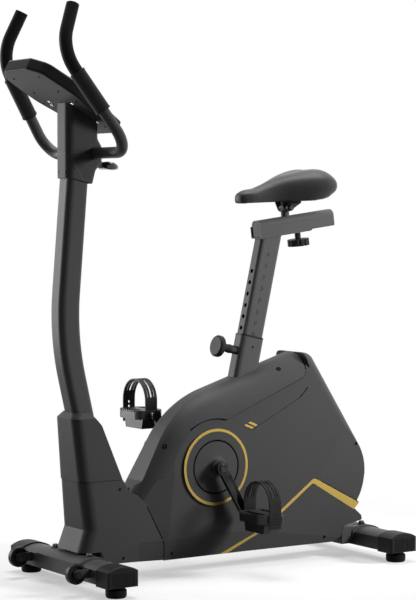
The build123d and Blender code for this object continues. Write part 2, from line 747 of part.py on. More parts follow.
with BuildPart() as seat_tube:
    with BuildSketch(seat_tube_plane):
        add(tube_section(SEAT_TUBE_DEPTH, SEAT_TUBE_WIDTH, SEAT_TUBE_CORNER, SEAT_TUBE_WALL))
    extrude(amount=-2 * SEAT_TUBE_TOP_Z)
    split(bisect_by=Plane.XY.offset(BEAM_TOP), keep=Keep.TOP)
    with BuildSketch(pin_plane):
        Circle(PIN_RADIUS + SLIDING)
    extrude(amount=SEAT_TUBE_DEPTH, mode=Mode.SUBTRACT)
keep(seat_tube, "seat_tube")

with BuildPart() as post_bush:
    with BuildSketch(seat_tube_plane):
        add(tube_section(SEAT_TUBE_DEPTH, SEAT_TUBE_WIDTH, SEAT_TUBE_CORNER))
    extrude(amount=BUSH_LIP)
    bush_grow = 2 * (BUSH_WALL - RUNNING)
    with BuildSketch(seat_tube_plane):
        add(tube_section(POST_DEPTH + bush_grow, POST_WIDTH + bush_grow, POST_CORNER + BUSH_WALL - RUNNING))
    extrude(amount=-BUSH_LENGTH)
    with BuildSketch(seat_tube_plane.offset(BUSH_LIP)):
        add(tube_section(POST_DEPTH + 2 * SLIDING, POST_WIDTH + 2 * SLIDING, POST_CORNER + SLIDING))
    extrude(amount=-BUSH_LIP - BUSH_LENGTH, mode=Mode.SUBTRACT)
    with BuildSketch(pin_plane):
        Circle(PIN_RADIUS + SLIDING)
    extrude(amount=SEAT_TUBE_DEPTH, mode=Mode.SUBTRACT)
keep(post_bush, "post_bush")

# Bottom bracket and drive

with BuildPart() as bottom_bracket:
    with BuildSketch(side_plane()):
        with Locations((-BRACKET_RADIUS, BEAM_TOP)):
            Rectangle(BRACKET_RADIUS - SEAT, CRANK_Z - BEAM_TOP, align=Align.MIN)
    extrude(amount=BRACKET_RADIUS, both=True)
    with BuildSketch(side_plane()):
        with Locations((0, CRANK_Z)):
            Rectangle(SEAT_TUBE_DEPTH, BRACKET_RADIUS, align=(Align.MIN, Align.CENTER))
    extrude(amount=DRIVE_PLATE, both=True)
    with BuildSketch(seat_tube_plane):
        add(tube_section(SEAT_TUBE_DEPTH, SEAT_TUBE_WIDTH, SEAT_TUBE_CORNER))
        with Locations((SEAT_TUBE_DEPTH / 2, 0)):
            Rectangle(SEAT_TUBE_DEPTH, SEAT_TUBE_WIDTH)
    extrude(amount=-2 * SEAT_TUBE_TOP_Z, mode=Mode.SUBTRACT)
    with BuildSketch(side_plane(z=CRANK_Z)):
        Circle(BRACKET_RADIUS)
    extrude(amount=BRACKET_HALF, both=True)
    with BuildSketch(side_plane(z=CRANK_Z)):
        Circle(BEARING_RADIUS)
    extrude(amount=BRACKET_HALF, both=True, mode=Mode.SUBTRACT)
keep(bottom_bracket, "bottom_bracket")

with BuildPart() as crank_bearings:
    for sign in (-1, 1):
        with BuildSketch(side_plane(y=sign * BRACKET_HALF, z=CRANK_Z)):
            Circle(BEARING_RADIUS - RUNNING)
            Circle(AXLE_RADIUS + RUNNING, mode=Mode.SUBTRACT)
        extrude(amount=sign * BEARING_WIDTH)
keep(crank_bearings, "crank_bearings")

flywheel_axis = Vector(FLYWHEEL_X, 0, FLYWHEEL_Z)
brake_inner = FLYWHEEL_RADIUS + BRAKE_GAP
brake_outer = brake_inner + BRAKE_DEPTH
brake_reach = (brake_inner + brake_outer) / 2
brake_pivot = flywheel_axis + Vector(cos(radians(BRAKE_FIRST)), 0, sin(radians(BRAKE_FIRST))) * brake_reach

with BuildPart() as drive_plates:
    for side, sign in SIDES:
        with BuildSketch(side_plane(y=sign * BEAM_WIDTH / 2)):
            with Locations((FLYWHEEL_X, FLYWHEEL_Z)):
                Circle(2.4 * FLYWHEEL_SHAFT)
            with Locations((brake_pivot.X, brake_pivot.Z)):
                Circle(2.5 * BRAKE_PIN)
            with Locations((FLYWHEEL_X, BEAM_BOTTOM + 2 * BEAM_WALL)):
                Rectangle(FLYWHEEL_RADIUS, BEAM_HEIGHT - 4 * BEAM_WALL, align=(Align.CENTER, Align.MIN))
            make_hull()
            with Locations((FLYWHEEL_X, FLYWHEEL_Z)):
                Circle(FLYWHEEL_SHAFT + RUNNING, mode=Mode.SUBTRACT)
            with Locations((brake_pivot.X, brake_pivot.Z)):
                Circle(BRAKE_PIN + RUNNING, mode=Mode.SUBTRACT)
        extrude(amount=-sign * DRIVE_PLATE)
keep(drive_plates, "drive_plates")

with BuildPart() as flywheel:
    with BuildSketch(side_plane(x=FLYWHEEL_X, z=FLYWHEEL_Z)):
        Circle(FLYWHEEL_RADIUS)
    extrude(amount=FLYWHEEL_WIDTH / 2, both=True)
    for sign in (-1, 1):
        with BuildSketch(side_plane(y=sign * FLYWHEEL_WIDTH / 2, x=FLYWHEEL_X, z=FLYWHEEL_Z)):
            Circle(FLYWHEEL_RADIUS - FLYWHEEL_RIM)
            Circle(3 * FLYWHEEL_SHAFT, mode=Mode.SUBTRACT)
        extrude(amount=sign * FLYWHEEL_WIDTH / 4, mode=Mode.SUBTRACT)
    with BuildSketch(side_plane(x=FLYWHEEL_X, z=FLYWHEEL_Z)):
        Circle(FLYWHEEL_SHAFT + RUNNING)
    extrude(amount=FLYWHEEL_WIDTH, both=True, mode=Mode.SUBTRACT)
keep(flywheel, "flywheel")

pulley_far = PULLEY_Y + PULLEY_WIDTH / 2
pulley_near = PULLEY_Y - PULLEY_WIDTH / 2
with BuildPart() as flywheel_shaft:
    with BuildSketch(side_plane(y=pulley_far, x=FLYWHEEL_X, z=FLYWHEEL_Z)):
        Circle(FLYWHEEL_SHAFT)
    extrude(amount=pulley_far + BEAM_WIDTH / 2 + DRIVE_PLATE)
    with BuildSketch(side_plane(y=pulley_far, x=FLYWHEEL_X, z=FLYWHEEL_Z)):
        Circle(FLYWHEEL_PULLEY)
    extrude(amount=PULLEY_WIDTH)
keep(flywheel_shaft, "flywheel_shaft")

with BuildPart() as crank_pulley:
    with BuildSketch(side_plane(y=pulley_far, z=CRANK_Z)):
        Circle(PULLEY_RADIUS)
        Circle(AXLE_RADIUS + RUNNING, mode=Mode.SUBTRACT)
    extrude(amount=PULLEY_WIDTH)
    for sign, face_y in ((1, pulley_far), (-1, pulley_near)):
        with BuildSketch(side_plane(y=face_y, z=CRANK_Z)):
            Circle(PULLEY_RADIUS - PULLEY_RIM)
            Circle(2.4 * AXLE_RADIUS, mode=Mode.SUBTRACT)
        extrude(amount=sign * PULLEY_WIDTH / 3, mode=Mode.SUBTRACT)
keep(crank_pulley, "crank_pulley")


def belt_loop(grow):
    """Outline of the belt round both pulleys, grown by a gap or a thickness."""
    with BuildSketch() as loop:
        with Locations((0, CRANK_Z)):
            Circle(PULLEY_RADIUS + grow)
        with Locations((FLYWHEEL_X, FLYWHEEL_Z)):
            Circle(FLYWHEEL_PULLEY + grow)
        make_hull()
    return loop.sketch


with BuildPart() as belt:
    with BuildSketch(side_plane(y=PULLEY_Y)):
        add(belt_loop(SLIDING + BELT_THICK))
        add(belt_loop(SLIDING), mode=Mode.SUBTRACT)
    extrude(amount=PULLEY_WIDTH / 2 - 1, both=True)
keep(belt, "drive_belt")

with BuildPart() as brake:
    with BuildSketch(side_plane(x=FLYWHEEL_X, z=FLYWHEEL_Z)):
        with BuildLine():
            CenterArc((0, 0), brake_inner, BRAKE_FIRST, BRAKE_LAST - BRAKE_FIRST)
            CenterArc((0, 0), brake_outer, BRAKE_FIRST, BRAKE_LAST - BRAKE_FIRST)
            for turn in (BRAKE_FIRST, BRAKE_LAST):
                PolarLine(
                    (brake_inner * cos(radians(turn)), brake_inner * sin(radians(turn))), BRAKE_DEPTH, turn
                )
        make_face()
        with Locations((brake_pivot.X - FLYWHEEL_X, brake_pivot.Z - FLYWHEEL_Z)):
            Circle(BRAKE_DEPTH / 2)
    extrude(amount=FLYWHEEL_WIDTH / 2, both=True)
    with BuildSketch(side_plane(x=brake_pivot.X, z=brake_pivot.Z)):
        Circle(BRAKE_PIN)
    extrude(amount=BEAM_WIDTH / 2 + DRIVE_PLATE, both=True)
keep(brake, "magnet_brake")

# Moulded casing, modelled as the left half and mirrored


def rounded_outline(corners):
    """Closed outline from corners that each carry their own rounding."""
    with BuildSketch() as outline:
        with BuildLine():
            FilletPolyline([spot for spot, _ in corners], radius=[r for _, r in corners], close=True)
        make_face()
    return outline.sketch


def case_outline():
    return rounded_outline(CASE_CORNERS)


def band_zone():
    """Region of the raised band: over the hump, round the crank ring and up to the seat tube."""
    first = radians(BAND_ARC_FIRST)
    middle = radians((BAND_ARC_FIRST + 180) / 2)
    arc_start = (BAND_ARC * cos(first), CRANK_Z + BAND_ARC * sin(first))
    arc_middle = (BAND_ARC * cos(middle), CRANK_Z + BAND_ARC * sin(middle))
    arc_end = (-BAND_ARC, CRANK_Z)
    far_above = 2 * CRANK_Z + BAND_ARC
    with BuildSketch() as zone:
        with BuildLine():
            FilletPolyline(
                (BAND_REAR_X, far_above), (BAND_REAR_X, BAND_REAR_Z), arc_start, radius=[BAND_END_ROUND]
            )
            ThreePointArc(arc_start, arc_middle, arc_end)
            Polyline(arc_end, BAND_NECK, BAND_FRONT, (2 * BAND_FRONT[0], BAND_FRONT[1]))
            far_ahead = 2 * BAND_FRONT[0]
            Polyline((far_ahead, BAND_FRONT[1]), (far_ahead, far_above), (BAND_REAR_X, far_above))
        make_face()
    return zone.sketch


def facet_tool(half):
    """Cutter for the lower facet, which leans in under a bent line along the side."""
    foot = CASE_BOTTOM / 2
    with BuildPart() as tool:
        for x, line_z in FACET_LINE:
            with BuildSketch(Plane(origin=(x, 0, 0), x_dir=(0, 1, 0), z_dir=(1, 0, 0))):
                with BuildLine():
                    Polyline(
                        (-half, line_z),
                        (FACET_SLOPE * (line_z - foot) - half, foot),
                        (-2 * half, foot),
                        (-2 * half, line_z),
                        close=True,
                    )
                make_face()
        loft(ruled=True)
    return tool.part


def leaning_facet(start, end, angle, towards):
    """Cutter that leans in at an angle from a line on the side, towards one hand of that line."""
    run = Vector(end[0] - start[0], 0, end[1] - start[1]).normalized()
    across = Vector(run.Z, 0, -run.X) * towards
    reach = 2 * CASE_HALF
    inward = -towards
    with BuildPart() as tool:
        with BuildSketch(Plane(origin=(start[0], -CASE_HALF, start[1]), x_dir=across, z_dir=run)):
            with BuildLine():
                Polyline(
                    (0, 0),
                    (reach, -inward * reach * tan(radians(angle))),
                    (reach, inward * reach),
                    (0, inward * reach),
                    close=True,
                )
            make_face()
        extrude(amount=3 * CASE_HALF, both=True)
    return tool.part


def edge_rounder(path_points, radii, half, radius):
    """Cutter that rounds an outline's outer edge, swept along the outline."""
    spare = radius / 2
    start = Vector(path_points[0][0], 0, path_points[0][1])
    ahead = Vector(path_points[1][0], 0, path_points[1][1]) - start
    along = ahead.normalized()
    outward = Vector(-along.Z, 0, along.X)
    with BuildPart() as tool:
        with BuildLine() as path:
            FilletPolyline([(x, 0, z) for x, z in path_points], radius=radii)
        with BuildSketch(Plane(origin=start, x_dir=outward, z_dir=along)):
            with Locations((-radius, half - radius)):
                Rectangle(radius + spare, radius + spare, align=Align.MIN)
                Circle(radius, mode=Mode.SUBTRACT)
        sweep(path=path.line)
    return tool.part


def side_skin(grow):
    """Solid whose outer face is the casing's side with its lower facet, grown outwards."""
    with BuildPart() as skin:
        with BuildSketch(side_plane()):
            with Locations((0, CASE_BOTTOM)):
                Rectangle(2 * HALF_LENGTH, CRANK_Z, align=(Align.CENTER, Align.MIN))
        extrude(amount=CASE_HALF + grow)
        add(facet_tool(CASE_HALF + grow), mode=Mode.SUBTRACT)
    return skin.part


def stripe_solid():
    """The stripe's strip, from its groove's floor out past the casing's side."""
    with BuildPart() as strip:
        with BuildSketch(side_plane()):
            add(rounded_outline(STRIPE_CORNERS))
        extrude(amount=2 * CASE_HALF)
        add(side_skin(-STRIPE_DEEP), mode=Mode.SUBTRACT)
    return strip.part


def top_point(x):
    """Point on the casing's straight top line."""
    return (x, CASE_TAIL[1] - (CASE_TAIL[0] - x) * TOP_SLOPE)


top_path = [BAND_PATH_START, CASE_HUMP, top_point(BAND_REAR_X)]
rear_path = [top_point(CASE_TAIL[0] - 2 * CASE_TAIL_ROUND), CASE_TAIL, CASE_REAR, CASE_REAR_FOOT]

with BuildPart() as rear_facet:
    add(leaning_facet(REAR_FACET_START, REAR_FACET_END, REAR_FACET_ANGLE, 1))
    with BuildSketch(side_plane()):
        with BuildLine():
            Polyline(
                REAR_FACET_START,
                (HALF_LENGTH, REAR_FACET_START[1] - (HALF_LENGTH - REAR_FACET_START[0]) * STRIPE_FALL),
                (HALF_LENGTH, CASE_TAIL[1]),
                (REAR_FACET_START[0], CASE_TAIL[1]),
                close=True,
            )
        make_face()
    extrude(amount=2 * CASE_HALF, mode=Mode.INTERSECT)

with BuildPart() as casing:
    with BuildSketch(side_plane()):
        add(case_outline())
        add(band_zone(), mode=Mode.SUBTRACT)
    extrude(amount=CASE_HALF)
    add(facet_tool(CASE_HALF), mode=Mode.SUBTRACT)
    add(rear_facet.part, mode=Mode.SUBTRACT)
    add(leaning_facet(NECK_START, NECK_END, NECK_ANGLE, -1), mode=Mode.SUBTRACT)
    add(edge_rounder(rear_path, [CASE_TAIL_ROUND, CASE_REAR_ROUND], CASE_HALF, REAR_ROUND), mode=Mode.SUBTRACT)
    with BuildSketch(side_plane()):
        add(case_outline())
        add(band_zone(), mode=Mode.INTERSECT)
    extrude(amount=CASE_OUTER)
    add(edge_rounder(top_path, [CASE_HUMP_ROUND], CASE_OUTER, BAND_ROUND), mode=Mode.SUBTRACT)
    with BuildSketch(side_plane(z=CRANK_Z)):
        Circle(RING_RADIUS)
    extrude(amount=CASE_HALF + RING_PROUD)
    for hollow_inset, hollow_half in CASE_HOLLOWS:
        with BuildSketch(side_plane()):
            offset(case_outline(), -hollow_inset)
        extrude(amount=hollow_half, mode=Mode.SUBTRACT)
    with BuildSketch(side_plane()):
        with BuildLine():
            Polyline(*CASE_POCKET, close=True)
        make_face()
    extrude(amount=CASE_HALF - CASE_WALL, mode=Mode.SUBTRACT)
    with BuildSketch(side_plane(z=CRANK_Z)):
        Circle(DISC_RADIUS + DISC_GAP)
    extrude(amount=2 * CASE_HALF, mode=Mode.SUBTRACT)
    with BuildSketch(side_plane(y=-CASE_HALF - RING_PROUD, z=CRANK_Z)):
        Circle(RING_RADIUS)
        Circle(RING_RADIUS - RING_BAND, mode=Mode.SUBTRACT)
    extrude(amount=-STRIPE_DEEP, mode=Mode.SUBTRACT)
    with BuildSketch(Plane(origin=(BEAM_FRONT_X, 0, BEAM_MID), x_dir=(0, 1, 0), z_dir=(1, 0, 0))):
        RectangleRounded(BEAM_WIDTH + 4 * SLIDING, BEAM_HEIGHT + 4 * SLIDING, 2 * BEAM_WALL)
    extrude(amount=2 * HALF_LENGTH, mode=Mode.SUBTRACT)
    with BuildSketch(seat_tube_plane):
        opening = 4 * SLIDING
        add(tube_section(SEAT_TUBE_DEPTH + opening, SEAT_TUBE_WIDTH + opening, SEAT_TUBE_CORNER + opening / 2))
    extrude(amount=-SEAT_TUBE_TOP_Z / 2, mode=Mode.SUBTRACT)
    add(stripe_solid(), mode=Mode.SUBTRACT)
    with BuildSketch(side_plane(y=-CASE_HALF)):
        with BuildLine():
            Polyline(*ACCENT_CORNERS, close=True)
        make_face()
    extrude(amount=-ACCENT_DEEP, mode=Mode.SUBTRACT)
    with BuildSketch(side_plane(y=-CASE_HALF)):
        with BuildLine():
            Polyline(*ACCENT_GROOVE, close=True)
        make_face()
    extrude(amount=-GROOVE_DEEP, mode=Mode.SUBTRACT)
    for screw_place, screw_floor in CASE_SCREWS:
        with BuildSketch(side_plane(y=-screw_floor)):
            with Locations(screw_place):
                Circle(SCREW_HOLE)
        extrude(amount=CASE_HALF, mode=Mode.SUBTRACT)
keep_pair(casing, "casing")

with BuildPart() as trim:
    add(stripe_solid())
    add(side_skin(STRIPE_PROUD), mode=Mode.INTERSECT)
    add(
        edge_rounder(rear_path, [CASE_TAIL_ROUND, CASE_REAR_ROUND], CASE_HALF + STRIPE_PROUD, REAR_ROUND),
        mode=Mode.SUBTRACT,
    )
    with BuildSketch(side_plane(y=STRIPE_DEEP - CASE_HALF - RING_PROUD, z=CRANK_Z)):
        Circle(RING_RADIUS)
        Circle(RING_RADIUS - RING_BAND, mode=Mode.SUBTRACT)
    extrude(amount=STRIPE_DEEP + STRIPE_PROUD)
    with BuildSketch(side_plane(y=ACCENT_DEEP - CASE_HALF)):
        for chip in CHIP_CORNERS:
            with BuildLine():
                Polyline(*chip, close=True)
            make_face()
    extrude(amount=ACCENT_DEEP + STRIPE_PROUD)
keep_both(trim, "side_trim")

# Front cover and mast boot

COVER_CORNERS = (
    ((2 * BOOT_SHOULDER_FRONT, COVER_LEVELS[-1][0]), 0),
    ((2 * BOOT_SHOULDER_FRONT, COVER_LEVELS[1][0]), 0),
    ((-343.0, COVER_LEVELS[1][0]), 0),
    ((-329.0, 67.0), 6),
    ((-317.0, 59.0), 0),
    ((-300.0, 52.0), 0),
    ((SEAM_FOOT_X - SEAM_GAP, CASE_BOTTOM + 2), 0),
    ((SEAM_MIDDLE[0] - SEAM_GAP, SEAM_MIDDLE[1]), 60),
    ((SEAM_TOP[0] - SEAM_GAP, SEAM_TOP[1] - SEAM_GAP), 20),
    ((CASE_NOTCH[0] - SEAM_GAP, CASE_NOTCH[1] - SEAM_GAP), 0),
    ((-252.0, 226.0), 10),
    ((BOOT_FOOT_REAR, COVER_LEVELS[-1][0]), 0),
)


def cover_plan(front, half):
    """Plan of the cover at one height: rounded front corners and a square rear."""
    return rounded_outline(
        (
            ((COVER_REAR_X, -half), 0),
            ((front, -half), COVER_CORNER),
            ((front, half), COVER_CORNER),
            ((COVER_REAR_X, half), 0),
        )
    )


def cover_body(shrink):
    """The cover's form, drawn in by a wall for its hollow."""
    with BuildPart() as body:
        for level, front, half in COVER_LEVELS:
            with BuildSketch(Plane.XY.offset(level)):
                add(cover_plan(front + shrink, half - shrink))
        loft(ruled=True)
        with BuildSketch(side_plane()):
            offset(rounded_outline(COVER_CORNERS), -shrink)
        extrude(amount=2 * CASE_HALF, both=True, mode=Mode.INTERSECT)
        add(facet_tool(COVER_FACET_HALF - shrink), mode=Mode.SUBTRACT)
        mirror(facet_tool(COVER_FACET_HALF - shrink), about=Plane.XZ, mode=Mode.SUBTRACT)
    return body.part


def mast_passage(gap):
    """Room for the mast's lower run, grown by a gap on every side."""
    with BuildPart() as passage:
        with BuildSketch(slanted_plane(mast_point(MAST_FOOT_Z), MAST_LOWER_LEAN, fore=True)):
            add(tube_section(MAST_DEPTH + 2 * gap, MAST_WIDTH + 2 * gap, MAST_CORNER + gap))
        extrude(amount=MAST_KNEE_Z - MAST_FOOT_Z)
    return passage.part


with BuildPart() as front_cover:
    add(cover_body(0.0))
    add(cover_body(COVER_WALL), mode=Mode.SUBTRACT)
    add(mast_passage(2 * SLIDING), mode=Mode.SUBTRACT)
    with BuildSketch(Plane(origin=(FRONT_BASE_X - SEAT, 0, BEAM_MID), x_dir=(0, 1, 0), z_dir=(1, 0, 0))):
        Rectangle(BEAM_WIDTH + 4 * SLIDING, BEAM_HEIGHT + 4 * SLIDING)
    extrude(amount=HALF_LENGTH, mode=Mode.SUBTRACT)
    rim_z, rim_front, rim_half = COVER_LEVELS[-1]
    with BuildSketch(Plane.XY.offset(rim_z)):
        add(cover_plan(rim_front - COVER_GROOVE, rim_half + COVER_GROOVE))
        add(cover_plan(rim_front + COVER_GROOVE, rim_half - COVER_GROOVE), mode=Mode.SUBTRACT)
    extrude(amount=-COVER_GROOVE, mode=Mode.SUBTRACT)
    for screw_place, screw_floor in COVER_SCREWS:
        for sign in (-1, 1):
            with BuildSketch(side_plane(y=sign * screw_floor)):
                with Locations(screw_place):
                    Circle(SCREW_HOLE)
            extrude(amount=-sign * CASE_HALF, mode=Mode.SUBTRACT)
keep(front_cover, "front_cover")


def boot_plan(front, rear, half, bulge):
    """Plan of the boot at one height: rounded front corners and a rear that swells behind the mast."""
    return rounded_outline(
        (
            ((rear, -half), 0),
            ((front, -half), COVER_CORNER - CAP_ROUND),
            ((front, half), COVER_CORNER - CAP_ROUND),
            ((rear, half), 0),
            ((rear + bulge, BOOT_REAR_HALF), 0),
            ((rear + bulge, -BOOT_REAR_HALF), 0),
        )
    )


boot_foot_z = COVER_LEVELS[-1][0]
with BuildPart() as mast_boot:
    with BuildSketch(Plane.XY.offset(boot_foot_z)):
        add(boot_plan(COVER_LEVELS[-1][1], BOOT_FOOT_REAR - SEAM_GAP, COVER_LEVELS[-1][2], SEAM_GAP))
    with BuildSketch(Plane.XY.offset(BOOT_SHOULDER_Z)):
        add(boot_plan(BOOT_SHOULDER_FRONT, BOOT_SHOULDER_REAR, BOOT_SHOULDER_HALF, BOOT_BULGE))
    loft(ruled=True)
    with BuildSketch(Plane.XY.offset(BOOT_SHOULDER_Z)):
        add(boot_plan(BOOT_SHOULDER_FRONT, BOOT_SHOULDER_REAR, BOOT_SHOULDER_HALF, BOOT_BULGE))
    with BuildSketch(Plane.XY.offset(BOOT_TOP_Z)):
        add(
            boot_plan(
                BOOT_SHOULDER_FRONT + BOOT_CHAMFER,
                BOOT_SHOULDER_REAR - BOOT_CHAMFER / 2,
                BOOT_SHOULDER_HALF - BOOT_CHAMFER,
                BOOT_BULGE,
            )
        )
    loft(ruled=True)
    wall = COVER_WALL
    with BuildSketch(Plane.XY.offset(boot_foot_z)):
        add(
            boot_plan(
                COVER_LEVELS[-1][1] + wall,
                BOOT_FOOT_REAR - wall - SEAM_GAP,
                COVER_LEVELS[-1][2] - wall,
                SEAM_GAP,
            )
        )
    with BuildSketch(Plane.XY.offset(BOOT_SHOULDER_Z - wall)):
        add(
            boot_plan(
                BOOT_SHOULDER_FRONT + wall, BOOT_SHOULDER_REAR - wall, BOOT_SHOULDER_HALF - wall, BOOT_BULGE
            )
        )
    loft(ruled=True, mode=Mode.SUBTRACT)
    add(mast_passage(SEAT), mode=Mode.SUBTRACT)
    rim_turn = radians(BOOT_RIM_ANGLE)
    split(
        bisect_by=Plane(
            origin=(BOOT_RIM_REAR[0], 0, BOOT_RIM_REAR[1]), x_dir=(0, 1, 0), z_dir=(sin(rim_turn), 0, cos(rim_turn))
        ),
        keep=Keep.BOTTOM,
    )
keep(mast_boot, "mast_boot")

# Crank and pedals

arm_outer_y = ARM_INNER_Y + ARM_THICK
pedal_inner_y = arm_outer_y + PEDAL_GAP
pedal_outer_y = pedal_inner_y + PEDAL_WIDTH
pedal_middle_y = (pedal_inner_y + pedal_outer_y) / 2
crank_throw = Vector(cos(radians(CRANK_ANGLE)), 0, sin(radians(CRANK_ANGLE))) * CRANK_LENGTH
SPINDLES = (("left", -1, CRANK_CENTRE + crank_throw), ("right", 1, CRANK_CENTRE - crank_throw))

with BuildPart() as crank_axle:
    with BuildSketch(side_plane(z=CRANK_Z)):
        Circle(AXLE_RADIUS)
    extrude(amount=arm_outer_y, both=True)
    for sign in (-1, 1):
        with BuildSketch(side_plane(y=sign * arm_outer_y, z=CRANK_Z)):
            Circle(ARM_HUB - 4)
        extrude(amount=-sign * 2.5)
    chamfer(crank_axle.edges().filter_by(GeomType.CIRCLE).group_by(Axis.Y)[0], 1.0)
    chamfer(crank_axle.edges().filter_by(GeomType.CIRCLE).group_by(Axis.Y)[-1], 1.0)
keep(crank_axle, "crank_axle")

arms = []
for side, sign, spindle in SPINDLES:
    with BuildPart() as crank_arm:
        with BuildSketch(side_plane(y=sign * ARM_INNER_Y)):
            with Locations((0, CRANK_Z)):
                Circle(ARM_EYE)
            with Locations((spindle.X, spindle.Z)):
                Circle(ARM_EYE - 2)
            make_hull()
            with Locations((0, CRANK_Z)):
                Circle(ARM_HUB)
            with Locations((spindle.X, spindle.Z)):
                Circle(ARM_EYE)
        extrude(amount=-sign * ARM_THICK)
        chamfer(crank_arm.faces().sort_by(Axis.Y)[-1 if sign > 0 else 0].outer_wire().edges(), 2.5)
        with BuildSketch(side_plane()):
            with Locations((0, CRANK_Z)):
                Circle(AXLE_RADIUS + RUNNING)
            with Locations((spindle.X, spindle.Z)):
                Circle(SPINDLE_RADIUS + RUNNING)
        extrude(amount=2 * arm_outer_y, both=True, mode=Mode.SUBTRACT)
    arms.append(crank_arm.part)

with BuildPart() as crank_arms:
    for arm in arms:
        add(arm)
keep(crank_arms, "crank_arms")

with BuildPart() as crank_disc:
    with BuildSketch(Plane(origin=CRANK_CENTRE, x_dir=(1, 0, 0), z_dir=(0, 0, 1))):
        disc_face = -CASE_HALF - RING_PROUD + 0.5
        with BuildLine():
            Polyline(
                (AXLE_RADIUS + RUNNING, disc_face + 4),
                (DISC_RADIUS, disc_face + 4),
                (DISC_RADIUS, disc_face),
                (30, disc_face - 2),
                (22, disc_face - 5),
                (20, -ARM_INNER_Y + 2),
                (AXLE_RADIUS + RUNNING, -ARM_INNER_Y + 2),
                close=True,
            )
        make_face()
    revolve(axis=Axis((0, 0, CRANK_Z), (0, 1, 0)))
keep_both(crank_disc, "crank_discs")

with BuildPart() as pedal_spindles:
    for side, sign, spindle in SPINDLES:
        with BuildSketch(side_plane(y=sign * (ARM_INNER_Y + 1), x=spindle.X, z=spindle.Z)):
            Circle(SPINDLE_RADIUS)
        extrude(amount=-sign * (pedal_outer_y - ARM_INNER_Y - 6))
        with BuildSketch(side_plane(y=sign * arm_outer_y, x=spindle.X, z=spindle.Z)):
            Circle(SPINDLE_RADIUS + 3)
        extrude(amount=-sign * (PEDAL_GAP - 3))
keep(pedal_spindles, "pedal_spindles")

strap_middle_y = (pedal_inner_y + pedal_outer_y + 2 * STRAP_THICK + 2) / 2
strap_outer = pedal_outer_y + STRAP_THICK - strap_middle_y
strap_inner = strap_outer - STRAP_THICK
strap_spring = STRAP_RISE - strap_outer

for side, sign, spindle in SPINDLES:
    pedal_plane = Plane(origin=(spindle.X, 0, spindle.Z), x_dir=(0, sign, 0), z_dir=(sign, 0, 0))
    with BuildPart() as pedal:
        with BuildSketch(Plane.XY.offset(spindle.Z - PEDAL_HEIGHT / 2)):
            with Locations((spindle.X, sign * pedal_middle_y)):
                RectangleRounded(PEDAL_LENGTH, PEDAL_WIDTH, PEDAL_CORNER)
        extrude(amount=PEDAL_HEIGHT)
        window_inner = SPINDLE_RADIUS + PEDAL_WALL
        window_outer = PEDAL_LENGTH / 2 - PEDAL_WALL
        with BuildSketch(Plane.XY.offset(spindle.Z - PEDAL_HEIGHT / 2)):
            for fore in (-1, 1):
                with Locations((spindle.X + fore * (window_inner + window_outer) / 2, sign * pedal_middle_y)):
                    RectangleRounded(window_outer - window_inner, PEDAL_WIDTH - 2 * PEDAL_CORNER + 3 * PEDAL_WALL, 6)
        extrude(amount=PEDAL_HEIGHT, mode=Mode.SUBTRACT)
        tooth_pitch = (PEDAL_WIDTH - 2 * PEDAL_CORNER) / (PEDAL_TEETH - 1)
        with BuildSketch(Plane.XY.offset(spindle.Z + PEDAL_HEIGHT / 2)):
            with Locations((spindle.X, sign * pedal_middle_y)):
                with GridLocations(PEDAL_LENGTH - PEDAL_WALL, tooth_pitch, 2, PEDAL_TEETH):
                    Rectangle(PEDAL_WALL + 2, 4.5)
        extrude(amount=-5, mode=Mode.SUBTRACT)
        with BuildSketch(pedal_plane):
            with Locations((pedal_middle_y, -PEDAL_HEIGHT / 2)):
                Trapezoid(PEDAL_WIDTH - PEDAL_CORNER, WEIGHT_DEPTH, 78, align=(Align.CENTER, Align.MIN), rotation=180)
        extrude(amount=22, both=True)
        with BuildSketch(side_plane(y=sign * pedal_inner_y, x=spindle.X, z=spindle.Z)):
            Circle(SPINDLE_RADIUS + RUNNING)
        extrude(amount=-sign * (PEDAL_WIDTH - 3), mode=Mode.SUBTRACT)
    keep(pedal, f"pedal_{side}")

    with BuildPart() as strap:
        with BuildSketch(pedal_plane):
            with Locations((strap_middle_y, strap_spring)):
                Circle(strap_outer)
                Rectangle(2 * strap_outer, strap_spring + WEIGHT_DEPTH, align=(Align.CENTER, Align.MAX))
                Circle(strap_inner, mode=Mode.SUBTRACT)
                Rectangle(
                    2 * strap_inner, 2 * STRAP_RISE, align=(Align.CENTER, Align.MAX), mode=Mode.SUBTRACT
                )
            with Locations((strap_middle_y, PEDAL_HEIGHT / 2)):
                Rectangle(strap_outer + 1, 2 * STRAP_RISE, align=Align.MAX, mode=Mode.SUBTRACT)
        extrude(amount=STRAP_WIDTH / 2, both=True)
        with BuildSketch(pedal_plane):
            with Locations((pedal_outer_y + STRAP_THICK, -2)):
                Rectangle(4, 18, align=(Align.MIN, Align.CENTER))
        extrude(amount=STRAP_WIDTH / 2 + 3, both=True)
    keep(strap, f"strap_{side}")

# Seat post, rail and saddle

rail_along = Vector(cos(radians(RAIL_TILT)), 0, sin(radians(RAIL_TILT)))
rail_up = Vector(-sin(radians(RAIL_TILT)), 0, cos(radians(RAIL_TILT)))
rail_middle = Vector(RAIL_MID_X, 0, RAIL_MID_Z)
channel_floor = -RAIL_HEIGHT / 2 - SLIDING
channel_under = channel_floor - CHANNEL_WALL
channel_half = RAIL_WIDTH / 2 + SLIDING


def rail_across(at):
    """Plane across the rail: its sketch axes are Y and the rail's upward normal."""
    return Plane(origin=rail_middle + rail_along * at, x_dir=(0, 1, 0), z_dir=rail_along)


def rail_level(at, up):
    """Plane square to the rail's upward normal, at a place along the rail."""
    return Plane(origin=rail_middle + rail_along * at + rail_up * up, x_dir=rail_along, z_dir=rail_up)


